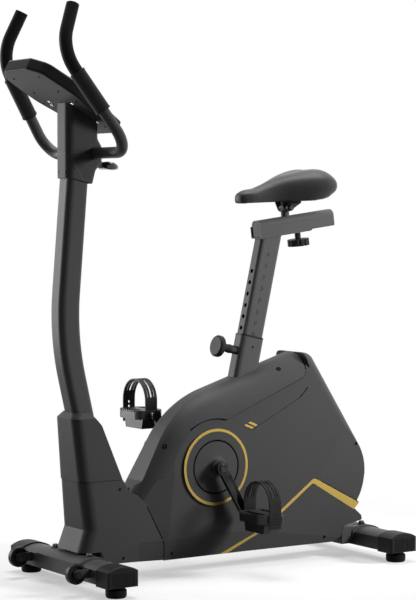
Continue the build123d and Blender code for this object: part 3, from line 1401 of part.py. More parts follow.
def rail_section(grow):
    """The rail's section, with a rounded top."""
    half = RAIL_WIDTH / 2 + grow
    tall = RAIL_HEIGHT / 2 + grow
    return rounded_outline(
        (
            ((-half, -tall), RAIL_EDGE + grow),
            ((half, -tall), RAIL_EDGE + grow),
            ((half, tall), RAIL_CORNER + grow),
            ((-half, tall), RAIL_CORNER + grow),
        )
    )


with BuildPart() as seat_post:
    with BuildSketch(seat_tube_plane.offset(-POST_INSERT)):
        add(tube_section(POST_DEPTH, POST_WIDTH, POST_CORNER, POST_WALL))
    extrude(amount=POST_INSERT + RAIL_MID_Z - SEAT_TUBE_TOP_Z + POST_DEPTH)
    split(bisect_by=rail_level(0, channel_under), keep=Keep.BOTTOM)
    for hole in range(POST_HOLES):
        with BuildSketch(pin_plane):
            with Locations((0, -hole * POST_HOLE_PITCH)):
                Circle(POST_HOLE_RADIUS)
        extrude(amount=POST_DEPTH, mode=Mode.SUBTRACT)
keep(seat_post, "seat_post")

with BuildPart() as rail_channel:
    with BuildSketch(rail_across(CHANNEL_FRONT)):
        with Locations((0, channel_under)):
            Rectangle(
                2 * (channel_half + CHANNEL_WALL),
                CHANNEL_HEIGHT + CHANNEL_WALL,
                align=(Align.CENTER, Align.MIN),
            )
    extrude(amount=CHANNEL_LENGTH)
    fillet(rail_channel.edges().filter_by(Axis.Y).group_by(Axis.X)[-1].sort_by(Axis.Z)[-1], CHANNEL_ROUND)
    with BuildSketch(rail_across(CHANNEL_FRONT)):
        add(rail_section(SLIDING))
    extrude(amount=CHANNEL_LENGTH, mode=Mode.SUBTRACT)
    with BuildSketch(rail_level(RAIL_KNOB_AT, channel_under)):
        Circle(RAIL_KNOB_BOLT + RUNNING)
    extrude(amount=2 * CHANNEL_WALL, mode=Mode.SUBTRACT)
keep(rail_channel, "rail_channel")

stub_eye = rail_middle + rail_along * STUB_AT + rail_up * (RAIL_HEIGHT / 2 + STUB_HEIGHT)
with BuildPart() as seat_rail:
    with BuildSketch(rail_across(RAIL_FRONT)):
        add(rail_section(0.0))
    extrude(amount=RAIL_LENGTH)
    with BuildSketch(rail_level(STUB_AT, 0)):
        Circle(STUB_RADIUS)
    extrude(amount=RAIL_HEIGHT / 2 + STUB_HEIGHT)
    with BuildSketch(side_plane(x=stub_eye.X, z=stub_eye.Z)):
        Circle(STUB_EYE)
    extrude(amount=STUB_RADIUS, both=True)
    with BuildSketch(side_plane(x=stub_eye.X, z=stub_eye.Z)):
        Circle(SADDLE_BOLT_RADIUS + RUNNING)
    extrude(amount=2 * STUB_RADIUS, both=True, mode=Mode.SUBTRACT)
    with BuildSketch(rail_across(RAIL_FRONT + RAIL_WALL)):
        add(rail_section(-RAIL_WALL))
    extrude(amount=RAIL_LENGTH - 2 * RAIL_WALL, mode=Mode.SUBTRACT)
    slot_width = 2 * (RAIL_KNOB_BOLT + SLIDING)
    with BuildSketch(rail_level(RAIL_KNOB_AT, -RAIL_HEIGHT / 2)):
        SlotOverall(slot_width + 2 * RAIL_TRAVEL + 4, slot_width)
    extrude(amount=2 * RAIL_WALL, both=True, mode=Mode.SUBTRACT)
keep(seat_rail, "seat_rail")

with BuildPart() as rail_knob:
    knob_top = channel_under - RAIL_KNOB_DROP
    with BuildSketch(rail_level(RAIL_KNOB_AT, knob_top - RAIL_KNOB_HEIGHT)):
        Circle(RAIL_KNOB_RADIUS)
        with PolarLocations(RAIL_KNOB_RADIUS + 1.5, RAIL_KNOB_FLUTES):
            Circle(4, mode=Mode.SUBTRACT)
    extrude(amount=RAIL_KNOB_HEIGHT)
    with BuildSketch(rail_level(RAIL_KNOB_AT, knob_top)):
        Circle(RAIL_KNOB_STEM)
    extrude(amount=RAIL_KNOB_DROP - SLIDING)
    with BuildSketch(rail_level(RAIL_KNOB_AT, knob_top)):
        Circle(RAIL_KNOB_BOLT)
    extrude(amount=RAIL_KNOB_DROP + 4 * CHANNEL_WALL)
keep(rail_knob, "rail_knob")

pan_fall = Plane(
    origin=(PAN_FOOT_X, 0, PAN_FOOT_Z),
    x_dir=(cos(radians(PAN_FALL)), 0, sin(radians(PAN_FALL))),
    z_dir=(-sin(radians(PAN_FALL)), 0, cos(radians(PAN_FALL))),
)
cheek_inner = STUB_RADIUS + SLIDING
cheek_outer = cheek_inner + CHEEK_PLATE

with BuildPart() as saddle_clamp:
    for sign in (-1, 1):
        with BuildSketch(side_plane(y=sign * cheek_inner)):
            with Locations((stub_eye.X, stub_eye.Z)):
                Circle(STUB_EYE + 1)
            with Locations((stub_eye.X + STUB_EYE, stub_eye.Z + STUB_EYE + PAN_THICK)):
                Rectangle(CHEEK_LENGTH, STUB_EYE)
            make_hull()
        extrude(amount=-sign * CHEEK_PLATE)
        with BuildSketch(side_plane(y=sign * cheek_outer, x=stub_eye.X, z=stub_eye.Z)):
            RegularPolygon(2 * SADDLE_BOLT_RADIUS, 6)
        extrude(amount=-sign * SADDLE_NUT_HEIGHT)
    with BuildSketch(side_plane(y=-cheek_outer, x=stub_eye.X, z=stub_eye.Z)):
        Circle(SADDLE_DRUM_RADIUS)
    extrude(amount=SADDLE_DRUM_LENGTH)
    with BuildSketch(side_plane(y=-cheek_outer - SADDLE_DRUM_LENGTH, x=stub_eye.X, z=stub_eye.Z)):
        RegularPolygon(2 * SADDLE_BOLT_RADIUS, 6)
    extrude(amount=SADDLE_NUT_HEIGHT)
    split(bisect_by=pan_fall.offset(-PAN_THICK), keep=Keep.BOTTOM)
    with BuildSketch(side_plane(x=stub_eye.X, z=stub_eye.Z)):
        Circle(SADDLE_BOLT_RADIUS)
    extrude(amount=cheek_outer, both=True)
keep(saddle_clamp, "saddle_clamp")

with BuildPart() as saddle_pan:
    with BuildSketch(pan_fall):
        add(rounded_outline(PAN_CORNERS))
    extrude(amount=-PAN_THICK)
keep(saddle_pan, "saddle_pan")


def cushion_section(half, base, top, lobe):
    """One crosswise section of the cushion: flat base, swelling sides and a crown with two lobes."""
    foot = 0.8 * half
    shoulder = 0.88 * half
    waist = base + 0.42 * (top - base)
    shoulder_z = base + 0.78 * (top - base)
    with BuildSketch() as section:
        with BuildLine():
            Line((-foot, base), (foot, base))
            ThreePointArc((foot, base), (half, waist), (shoulder, shoulder_z))
            ThreePointArc((shoulder, shoulder_z), (0.5 * half, top + lobe - 0.02 * half), (0, top))
            ThreePointArc((0, top), (-0.5 * half, top + lobe - 0.02 * half), (-shoulder, shoulder_z))
            ThreePointArc((-shoulder, shoulder_z), (-half, waist), (-foot, base))
        make_face()
    return section.sketch


with BuildPart() as saddle_cushion:
    for station_x, half, base, top, lobe in CUSHION_STATIONS:
        with BuildSketch(Plane(origin=(station_x, 0, 0), x_dir=(0, 1, 0), z_dir=(1, 0, 0))):
            add(cushion_section(half, base, top, lobe))
    loft()
    split(bisect_by=pan_fall, keep=Keep.TOP)
keep(saddle_cushion, "saddle_cushion")

# Pull pin

housing_face = SEAT_TUBE_DEPTH / 2 + PIN_HOUSING
with BuildPart() as pin_housing:
    with BuildSketch(pin_plane.offset(SEAT_TUBE_DEPTH / 2)):
        Circle(PIN_HOUSING_RADIUS)
        Circle(PIN_RADIUS + SLIDING, mode=Mode.SUBTRACT)
    extrude(amount=PIN_HOUSING)
keep(pin_housing, "pin_housing")

with BuildPart() as pin_shank:
    with BuildSketch(pin_plane.offset(POST_DEPTH / 2 + NOSE_GAP)):
        Circle(PIN_RADIUS)
    extrude(amount=housing_face - POST_DEPTH / 2 - NOSE_GAP + PIN_NECK)
keep(pin_shank, "pin_shank")

with BuildPart() as pin_knob:
    with BuildSketch(pin_plane.offset(housing_face + SLIDING)):
        Circle(PIN_NECK_RADIUS)
    with BuildSketch(pin_plane.offset(housing_face + PIN_NECK)):
        Circle(PIN_NECK_RADIUS - 3)
    loft()
    with BuildSketch(pin_plane.offset(housing_face + SLIDING)):
        Circle(PIN_RADIUS + RUNNING)
    extrude(amount=PIN_NECK - SLIDING, mode=Mode.SUBTRACT)
    with BuildSketch(pin_plane.offset(housing_face + PIN_NECK)):
        Circle(PIN_KNOB_RADIUS)
    extrude(amount=PIN_KNOB)
    fillet(pin_knob.edges().filter_by(GeomType.CIRCLE).sort_by(SortBy.RADIUS)[-2:], PIN_KNOB_ROUND)
keep(pin_knob, "pin_knob")

# Handlebar

knee = Vector(*BAR_KNEE)
corner = Vector(BAR_X, -BAR_HALF, BAR_Z)
horn = (Vector(*BAR_TIP) - knee).normalized()
grip_radius = BAR_RADIUS + GRIP_WALL
lower_run = (corner - knee).normalized()
tip = knee + horn * ((GRIP_TIP_Z - grip_radius * hypot(horn.X, horn.Y) - knee.Z) / horn.Z)


def flipped(point):
    return Vector(point.X, -point.Y, point.Z)


with BuildPart() as handlebar:
    with BuildLine() as bar_line:
        FilletPolyline(
            tip - horn * GRIP_WALL,
            knee,
            corner,
            flipped(corner),
            flipped(knee),
            flipped(tip - horn * GRIP_WALL),
            radius=[BAR_UPPER_BEND, BAR_LOWER_BEND, BAR_LOWER_BEND, BAR_UPPER_BEND],
        )
    with BuildSketch(Plane(origin=tip - horn * GRIP_WALL, z_dir=horn * -1)):
        Circle(BAR_RADIUS)
        Circle(BAR_RADIUS - BAR_WALL, mode=Mode.SUBTRACT)
    sweep(path=bar_line.line)
keep(handlebar, "handlebar")

with BuildPart() as grip:
    with BuildLine() as horn_line:
        FilletPolyline(tip, knee, knee + lower_run * (SENSOR_FROM_KNEE - GRIP_SEAM), radius=BAR_UPPER_BEND)
    with BuildSketch(Plane(origin=tip, z_dir=horn * -1)):
        Circle(grip_radius)
    sweep(path=horn_line.line)
    with BuildSketch(Plane(origin=tip - horn * GRIP_WALL, z_dir=horn * -1)):
        Circle(BAR_RADIUS + RUNNING)
    with BuildLine() as bore_line:
        FilletPolyline(tip - horn * GRIP_WALL, knee, corner, radius=BAR_UPPER_BEND)
    sweep(path=bore_line.line, mode=Mode.SUBTRACT)
keep_both(grip, "grips")

with BuildPart() as pulse_sensor:
    with BuildSketch(Plane(origin=knee + lower_run * SENSOR_FROM_KNEE, z_dir=lower_run)):
        Circle(SENSOR_RADIUS)
        Circle(BAR_RADIUS + RUNNING, mode=Mode.SUBTRACT)
    extrude(amount=SENSOR_LENGTH)
    chamfer(pulse_sensor.edges().filter_by(GeomType.CIRCLE).sort_by(SortBy.RADIUS)[-2:], 1.5)
keep_both(pulse_sensor, "pulse_sensors")

# Bar clamp and its knob

mast_top_x = mast_point(MAST_TOP_Z).X
knob_axis = Vector(cos(radians(BAR_KNOB_FALL)), 0, -sin(radians(BAR_KNOB_FALL)))
knob_middle = Vector(BAR_KNOB_X, 0, BAR_KNOB_Z)


def knob_plane(back):
    """Plane across the bar knob's bolt, some way towards the mast from the knob's middle."""
    return Plane(origin=knob_middle - knob_axis * back, x_dir=(0, 1, 0), z_dir=knob_axis)


with BuildPart() as bar_clamp:
    with BuildSketch(side_plane()):
        with Locations((BAR_X, BAR_Z)):
            Circle(BAR_RADIUS + CLAMP_WALL)
        with Locations((mast_top_x, MAST_TOP_Z + SEAT)):
            Rectangle(MAST_DEPTH - 2 * CLAMP_WALL, CLAMP_PLATE, align=(Align.CENTER, Align.MIN))
        make_hull()
    extrude(amount=CLAMP_HALF, both=True)
    with BuildSketch(side_plane()):
        with Locations((LUG_REAR_X, LUG_BOTTOM_Z)):
            Rectangle(
                LUG_REAR_X - mast_top_x - MAST_DEPTH / 2 - 2 * SEAT,
                BAR_Z - LUG_BOTTOM_Z,
                align=(Align.MAX, Align.MIN),
            )
    extrude(amount=LUG_HALF, both=True)
    split(bisect_by=Plane.XY.offset(LUG_BOTTOM_Z), keep=Keep.TOP)
    with BuildSketch(side_plane(x=BAR_X, z=BAR_Z)):
        Circle(BAR_RADIUS + RUNNING)
    extrude(amount=2 * CLAMP_HALF, both=True, mode=Mode.SUBTRACT)
    with BuildSketch(slanted_plane(mast_point(MAST_TOP_Z), MAST_UPPER_LEAN)):
        RectangleRounded(MAST_DEPTH + 2 * SEAT, MAST_WIDTH + 2 * SEAT, MAST_CORNER)
    extrude(amount=-MAST_DEPTH, mode=Mode.SUBTRACT)
    with BuildSketch(knob_plane(0)):
        Circle(BAR_KNOB_BOLT + RUNNING)
    extrude(amount=-BAR_KNOB_REACH - 1, mode=Mode.SUBTRACT)
keep(bar_clamp, "bar_clamp")

with BuildPart() as bar_knob:
    with BuildSketch(knob_plane(BAR_KNOB_REACH)):
        Circle(BAR_KNOB_BOLT)
    extrude(amount=BAR_KNOB_REACH)
    with BuildSketch(knob_plane(BAR_KNOB_LENGTH)):
        Circle(BAR_KNOB_NECK)
    extrude(amount=BAR_KNOB_LENGTH)
    for back, span, deep in BAR_KNOB_SECTIONS:
        with BuildSketch(knob_plane(back)):
            SlotOverall(span, deep)
    loft()
keep(bar_knob, "bar_knob")

# Console

console_turn = radians(CONSOLE_TILT)
console_nose = Vector(
    -HALF_LENGTH - CONSOLE_EDGE * (cos(console_turn) + sin(console_turn) - 1), 0, CONSOLE_NOSE_Z
)
console_plane = Plane(
    origin=console_nose,
    x_dir=(cos(console_turn), 0, -sin(console_turn)),
    z_dir=(sin(console_turn), 0, cos(console_turn)),
)
console_rise = Axis(console_nose, console_plane.z_dir)
button_places = [
    (BUTTON_AT, (number - (len(BUTTON_NAMES) - 1) / 2) * BUTTON_PITCH) for number in range(len(BUTTON_NAMES))
]

with BuildPart() as console_case:
    with BuildSketch(console_plane):
        add(rounded_outline(CONSOLE_CORNERS))
    extrude(amount=CONSOLE_THICK - CONSOLE_FACE)
    fillet(console_case.faces().sort_by(console_rise)[0].edges(), CONSOLE_EDGE)
    with BuildSketch(console_plane.offset(CONSOLE_WALL)):
        offset(rounded_outline(CONSOLE_CORNERS), -CONSOLE_EDGE)
    extrude(amount=CONSOLE_THICK, mode=Mode.SUBTRACT)
keep(console_case, "console_case")

with BuildPart() as console_face:
    with BuildSketch(console_plane.offset(CONSOLE_THICK - CONSOLE_FACE)):
        add(rounded_outline(CONSOLE_CORNERS))
    extrude(amount=CONSOLE_FACE)
    fillet(console_face.faces().sort_by(console_rise)[-1].edges(), CONSOLE_FACE - 1)
    with BuildSketch(console_plane.offset(CONSOLE_THICK - WINDOW_THICK)):
        with Locations((WINDOW_AT, 0)):
            RectangleRounded(WINDOW_LENGTH, WINDOW_WIDTH, 8)
    extrude(amount=WINDOW_THICK, mode=Mode.SUBTRACT)
    with BuildSketch(console_plane):
        with Locations(*button_places):
            Circle(BUTTON_RADIUS + SLIDING)
    extrude(amount=2 * CONSOLE_THICK, mode=Mode.SUBTRACT)
keep(console_face, "console_face")

with BuildPart() as console_window:
    with BuildSketch(console_plane.offset(CONSOLE_THICK - WINDOW_THICK)):
        with Locations((WINDOW_AT, 0)):
            RectangleRounded(WINDOW_LENGTH - 2 * SEAT, WINDOW_WIDTH - 2 * SEAT, 8 - SEAT)
    extrude(amount=WINDOW_THICK - SEAT)
keep(console_window, "console_window")

for name, place in zip(BUTTON_NAMES, button_places):
    with BuildPart() as button:
        with BuildSketch(console_plane.offset(CONSOLE_THICK - CONSOLE_FACE - SLIDING - BUTTON_FLANGE)):
            with Locations(place):
                Circle(BUTTON_RADIUS + BUTTON_FLANGE)
        extrude(amount=BUTTON_FLANGE)
        with BuildSketch(console_plane.offset(CONSOLE_THICK - CONSOLE_FACE - SLIDING - BUTTON_FLANGE)):
            with Locations(place):
                Circle(BUTTON_RADIUS)
        extrude(amount=BUTTON_FLANGE + SLIDING + CONSOLE_FACE + BUTTON_PROUD)
        chamfer(button.faces().sort_by(console_rise)[-1].edges(), 1.0)
    keep(button, f"button_{name}")

# Mast shroud, between the mast and the console

foot_slope = (SHROUD_FOOT_REAR[1] - SHROUD_FOOT_FRONT_Z) / (SHROUD_FOOT_REAR[0] - SHROUD_FRONT_X)
foot_plane = Plane(
    origin=(SHROUD_FRONT_X, 0, SHROUD_FOOT_FRONT_Z), x_dir=(1, 0, foot_slope), z_dir=(-foot_slope, 0, 1)
)
seam_plane = Plane(
    origin=(SHROUD_SEAM_X, 0, SHROUD_SEAM_Z), x_dir=(0, 1, 0), z_dir=(SHROUD_SEAM_SLOPE, 0, 1)
)
SHROUD_CORNERS = (
    ((SHROUD_FRONT_X, SHROUD_TOP_Z), 0),
    ((SHROUD_FRONT_X, SHROUD_FOOT_FRONT_Z - SHROUD_SPARE), 0),
    ((SHROUD_FOOT_REAR[0] - SHROUD_SPARE / 4, SHROUD_FOOT_REAR[1] - SHROUD_SPARE), 0),
    ((SHROUD_FOOT_REAR[0] + SHROUD_SPARE / 4, SHROUD_FOOT_REAR[1] + SHROUD_SPARE - 8.0), SHROUD_BULGE_ROUND),
    ((SHROUD_BULGE_X, SHROUD_BULGE_Z[0]), SHROUD_BULGE_ROUND),
    ((SHROUD_BULGE_X, SHROUD_BULGE_Z[1]), SHROUD_BULGE_ROUND),
    ((SHROUD_REAR_X, SHROUD_BULGE_Z[1] + SHROUD_BULGE_ROUND + 5.0), SHROUD_BULGE_ROUND),
    ((SHROUD_REAR_X, SHROUD_TOP_Z), 0),
)


def shroud_body(shrink):
    """The shroud's form before it is trimmed at both ends, drawn in by a wall for its hollow."""
    with BuildPart() as body:
        with BuildSketch(side_plane()):
            offset(rounded_outline(SHROUD_CORNERS), -shrink)
        extrude(amount=SHROUD_HALF - shrink, both=True)
        fillet(body.edges().filter_by(Axis.Z).group_by(Axis.X)[0], SHROUD_CORNER - shrink)
        sides = body.faces().sort_by(Axis.Y)
        rims = sides[0].edges() + sides[-1].edges()
        fillet(
            rims.filter_by_position(Axis.X, SHROUD_FOOT_REAR[0] - SHROUD_SPARE / 2, SHROUD_BULGE_X)
            .filter_by_position(Axis.Z, SHROUD_FOOT_REAR[1] - SHROUD_SPARE / 2, SHROUD_TOP_Z - 2 * SHROUD_WALL),
            SHROUD_CORNER - shrink,
        )
    return body.part


with BuildPart() as shroud:
    add(shroud_body(0.0))
    add(shroud_body(SHROUD_WALL), mode=Mode.SUBTRACT)
    split(bisect_by=console_plane, keep=Keep.BOTTOM)
    split(bisect_by=foot_plane, keep=Keep.TOP)
    with BuildSketch(side_plane(x=BAR_X, z=BAR_Z)):
        Circle(BAR_RADIUS + BAR_HOLE_GAP)
    extrude(amount=BAR_HALF, both=True, mode=Mode.SUBTRACT)
    with BuildSketch(knob_plane(0)):
        Circle(BAR_KNOB_NECK + BAR_HOLE_GAP)
    extrude(amount=-BAR_KNOB_REACH, mode=Mode.SUBTRACT)

with BuildPart() as shroud_rear:
    add(shroud.part)
    split(bisect_by=seam_plane, keep=Keep.TOP)
keep(shroud_rear, "shroud_rear")

with BuildPart() as shroud_front:
    add(shroud.part)
    split(bisect_by=seam_plane, keep=Keep.BOTTOM)
keep(shroud_front, "shroud_front")
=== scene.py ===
"""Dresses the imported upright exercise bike: finishes, saddle, mouldings, straps, screws and studio."""

import json
from math import cos, hypot, pi, radians, sin, tan

import bmesh
import bpy
from mathutils import Matrix, Vector
from mathutils.bvhtree import BVHTree


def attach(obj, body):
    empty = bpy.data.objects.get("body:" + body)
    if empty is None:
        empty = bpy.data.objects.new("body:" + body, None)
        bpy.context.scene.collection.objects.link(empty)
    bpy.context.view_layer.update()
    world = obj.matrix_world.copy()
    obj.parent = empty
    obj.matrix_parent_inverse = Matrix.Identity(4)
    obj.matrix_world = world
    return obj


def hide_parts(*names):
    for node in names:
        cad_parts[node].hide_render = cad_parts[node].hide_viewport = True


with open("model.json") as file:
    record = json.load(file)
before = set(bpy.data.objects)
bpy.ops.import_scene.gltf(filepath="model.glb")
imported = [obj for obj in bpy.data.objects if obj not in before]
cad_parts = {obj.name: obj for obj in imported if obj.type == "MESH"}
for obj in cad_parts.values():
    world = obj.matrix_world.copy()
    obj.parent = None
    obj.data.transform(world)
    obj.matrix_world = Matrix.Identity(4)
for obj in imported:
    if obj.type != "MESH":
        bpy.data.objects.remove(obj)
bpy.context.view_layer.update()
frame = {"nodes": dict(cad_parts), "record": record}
nodes = frame["nodes"]

MM = 0.001

# Places taken from the CAD model, in millimetres

CONSOLE_NOSE = Vector((-539.208, 0, 1270.0))
CONSOLE_TILT = radians(30.3)
BUTTON_AT = 190.0
BUTTON_PITCH = 32.0
WINDOW_AT = 96.0
POST_TILT = radians(13.0)
POST_PITCH = 30.4
POST_MARKS = 8
POST_SIDE = 20.0
TUBE_TOP = Vector((156.0, 0, 595.5))
TUBE_SIDE = 23.5
CASE_SCREWS = (
    ((-138.5, 47.0, 332.2), (-0.677, 0.605, 0.419)),
    ((213.9, 51.8, 513.5), (-0.216, 0.684, 0.697)),
    ((-128.0, 59.0, 61.0), (0, 1, 0)),
    ((351.0, 67.0, 60.0), (0, 1, 0)),
    ((462.0, 60.0, 302.0), (0, 1, 0)),
    ((-276.0, 66.5, 63.0), (0, 1, 0)),
    ((-282.0, 61.5, 236.0), (0, 1, 0)),
)
CASE_SCREW = (4.2, 1.8)
CUPPED_SCREW = (3.2, 0.6)
CUPPED_SCREWS = 2
SCREW_HOLE_SHADE = ((3.4, -0.6), (3.4, 0.3), (6.2, 0.5), (6.6, -0.6))
BAND_ARC = 123.5
BAND_ARC_ENDS = (radians(128.0), radians(74.0))
BAND_END = (Vector((272.3, 487.1)), Vector((262.0, 512.6)))
BAND_END_ROUND = 27.5
BAND_END_TURN = radians(68.0)
BAND_TOP_Z = 544.0
BAND_SHADOW_HALF = 1.4
SEAM_SHADE_HALF = 1.2
SEAM_SHADE_INSET = 2.1
COVER_SEAM = ((-202.0, 187.0), (-157.2, 96.6), (-152.0, 86.0), (-151.2, 74.2), (-149.2, 46.0))
CASE_SIDE = 71.0
FACET_LINE = (Vector((327.0, 219.0)), Vector((425.0, 360.0)))
FACET_LEAN = radians(6.0)
FACET_REACH = 142.0
FACET_FALL = 0.5185
FACET_FOOT = 466.0
MAST_KNEE = Vector((-407.0, 621.0))
MAST_LEANS = (radians(13.0), radians(4.7))
MAST_BEND = 680.0
MAST_DEPTH = 56.0
MAST_WIDTH = 61.0
MAST_CORNER = 11.0
MAST_ROUND = 16.5
SHROUD_FRONT = -409.0
SHROUD_HALF = 34.0
SHROUD_CORNER = 12.0
SHROUD_ROUND = 19.0
SEAM_START = (-364.6, 1002.4)
SEAM_SLOPE = 1.52
CRANK_Z = 273.0
AXLE_END = 113.5
DISC_FACE = 75.0
DISC_RADIUS = 70.0
SPINDLES = (("left", -1, 70.0, 151.756), ("right", 1, -70.0, 394.244))
STRAP_MIDDLE = 181.0
STRAP_RADIUS = 55.5
STRAP_SPRING = 35.0
STRAP_FOOT = 12.0
STRAP_TAIL = -25.0
STRAP_HALF = 18.0
STRAP_THICK = 3.0
BAR_KNEE = Vector((-494.0, -152.0, 1312.0))
BAR_CORNER = Vector((-332.0, -201.0, 1071.0))
SENSOR_START = 64.0
SENSOR_LENGTH = 112.0
SENSOR_RADIUS = 19.0
WHEEL_AXLE = Vector((-456.0, 155.8, 54.0))


# Shader groups shared by the finishes


def new_group(name, inputs, outputs):
    """An empty shader group with its sockets; inputs are (name, kind, default)."""
    group = bpy.data.node_groups.new(name, "ShaderNodeTree")
    for label, kind, default in inputs:
        socket = group.interface.new_socket(name=label, in_out="INPUT", socket_type=kind)
        socket.default_value = default
    for label, kind in outputs:
        group.interface.new_socket(name=label, in_out="OUTPUT", socket_type=kind)
    return group, group.nodes.new("NodeGroupInput"), group.nodes.new("NodeGroupOutput")


def math_node(tree, operation, first, second=None, clamp=False):
    node = tree.nodes.new("ShaderNodeMath")
    node.operation = operation
    node.use_clamp = clamp
    for socket, value in zip(node.inputs, (first, second)):
        if value is None:
            continue
        if isinstance(value, (int, float)):
            socket.default_value = value
        else:
            tree.links.new(value, socket)
    return node.outputs[0]


def noise_node(tree, place, scale, detail=2.0, roughness=0.5):
    node = tree.nodes.new("ShaderNodeTexNoise")
    node.inputs["Detail"].default_value = detail
    node.inputs["Roughness"].default_value = roughness
    tree.links.new(place, node.inputs["Vector"])
    if isinstance(scale, (int, float)):
        node.inputs["Scale"].default_value = scale
    else:
        tree.links.new(scale, node.inputs["Scale"])
    return node.outputs[0]


def mixed_colour(tree, share, first, second, blend="MIX"):
    node = tree.nodes.new("ShaderNodeMix")
    node.data_type = "RGBA"
    node.blend_type = blend
    for socket, value in zip((node.inputs[0], node.inputs[6], node.inputs[7]), (share, first, second)):
        if isinstance(value, (int, float, tuple)):
            socket.default_value = value
        else:
            tree.links.new(value, socket)
    return node.outputs[2]


def moulded_grain_group():
    """Fine surface grain with a slow drift of shade and gloss over the piece."""
    group, given, result = new_group(
        "moulded_grain",
        (
            ("Colour", "NodeSocketColor", (0.05, 0.05, 0.05, 1)),
            ("Shade Drift", "NodeSocketFloat", 0.12),
            ("Gloss", "NodeSocketFloat", 0.5),
            ("Gloss Drift", "NodeSocketFloat", 0.08),
            ("Grain Scale", "NodeSocketFloat", 900.0),
        ),
        (("Colour", "NodeSocketColor"), ("Roughness", "NodeSocketFloat"), ("Height", "NodeSocketFloat")),
    )
    place = group.nodes.new("ShaderNodeTexCoord").outputs["Object"]
    slow = noise_node(group, place, 7.0, 3.0)
    fine = noise_node(group, place, given.outputs["Grain Scale"], 2.0, 0.6)
    drift = math_node(group, "SUBTRACT", slow, 0.5)
    shade = math_node(group, "MULTIPLY_ADD", drift, given.outputs["Shade Drift"])
    group.nodes[-1].inputs[2].default_value = 1.0
    speck = math_node(group, "MULTIPLY_ADD", math_node(group, "SUBTRACT", fine, 0.5), 0.12)
    group.nodes[-1].inputs[2].default_value = 1.0
    scaled = group.nodes.new("ShaderNodeVectorMath")
    scaled.operation = "SCALE"
    group.links.new(given.outputs["Colour"], scaled.inputs[0])
    group.links.new(math_node(group, "MULTIPLY", shade, speck), scaled.inputs["Scale"])
    gloss = math_node(group, "MULTIPLY_ADD", drift, given.outputs["Gloss Drift"])
    group.links.new(given.outputs["Gloss"], group.nodes[-1].inputs[2])
    group.links.new(scaled.outputs[0], result.inputs["Colour"])
    group.links.new(gloss, result.inputs["Roughness"])
    group.links.new(fine, result.inputs["Height"])
    return group


def edge_wear_and_sheen_group():
    """Pales a colour along edges, partly as wear and partly as a painted sheen on the edges, broken up by a
    coarse noise.
    """
    group, given, result = new_group(
        "edge_wear_and_sheen",
        (
            ("Colour", "NodeSocketColor", (0.05, 0.05, 0.05, 1)),
            ("Wear And Sheen", "NodeSocketColor", (0.2, 0.2, 0.2, 1)),
            ("Amount", "NodeSocketFloat", 0.5),
            ("Reach", "NodeSocketFloat", 0.0012),
        ),
        (("Colour", "NodeSocketColor"), ("Mask", "NodeSocketFloat")),
    )
    bevel = group.nodes.new("ShaderNodeBevel")
    bevel.samples = 4
    group.links.new(given.outputs["Reach"], bevel.inputs["Radius"])
    plain = group.nodes.new("ShaderNodeNewGeometry")
    turn = group.nodes.new("ShaderNodeVectorMath")
    turn.operation = "DOT_PRODUCT"
    group.links.new(bevel.outputs[0], turn.inputs[0])
    group.links.new(plain.outputs["Normal"], turn.inputs[1])
    bent = math_node(group, "SUBTRACT", 1.0, turn.outputs["Value"])
    edge = math_node(group, "MULTIPLY", bent, 6.0, clamp=True)
    place = group.nodes.new("ShaderNodeTexCoord").outputs["Object"]
    patchy = math_node(group, "MULTIPLY", noise_node(group, place, 60.0, 3.0), edge)
    mask = math_node(group, "MULTIPLY", patchy, given.outputs["Amount"], clamp=True)
    paled = mixed_colour(group, mask, given.outputs["Colour"], given.outputs["Wear And Sheen"])
    group.links.new(paled, result.inputs["Colour"])
    group.links.new(mask, result.inputs["Mask"])
    return group


def hide_grain_group():
    """Leather grain: rounded cells with fine pores between them."""
    group, given, result = new_group(
        "hide_grain",
        (("Cell Scale", "NodeSocketFloat", 420.0),),
        (("Height", "NodeSocketFloat"), ("Crease", "NodeSocketFloat")),
    )
    place = group.nodes.new("ShaderNodeTexCoord").outputs["Object"]
    cells = group.nodes.new("ShaderNodeTexVoronoi")
    cells.feature = "SMOOTH_F1"
    group.links.new(place, cells.inputs["Vector"])
    group.links.new(given.outputs["Cell Scale"], cells.inputs["Scale"])
    pores = noise_node(group, place, 1600.0, 2.0)
    height = math_node(group, "ADD", cells.outputs["Distance"], math_node(group, "MULTIPLY", pores, 0.25))
    group.links.new(height, result.inputs["Height"])
    crease = math_node(group, "POWER", cells.outputs["Distance"], 2.0, clamp=True)
    group.links.new(crease, result.inputs["Crease"])
    return group


moulded_grain = moulded_grain_group()
edge_wear_and_sheen = edge_wear_and_sheen_group()
hide_grain = hide_grain_group()


# Finishes


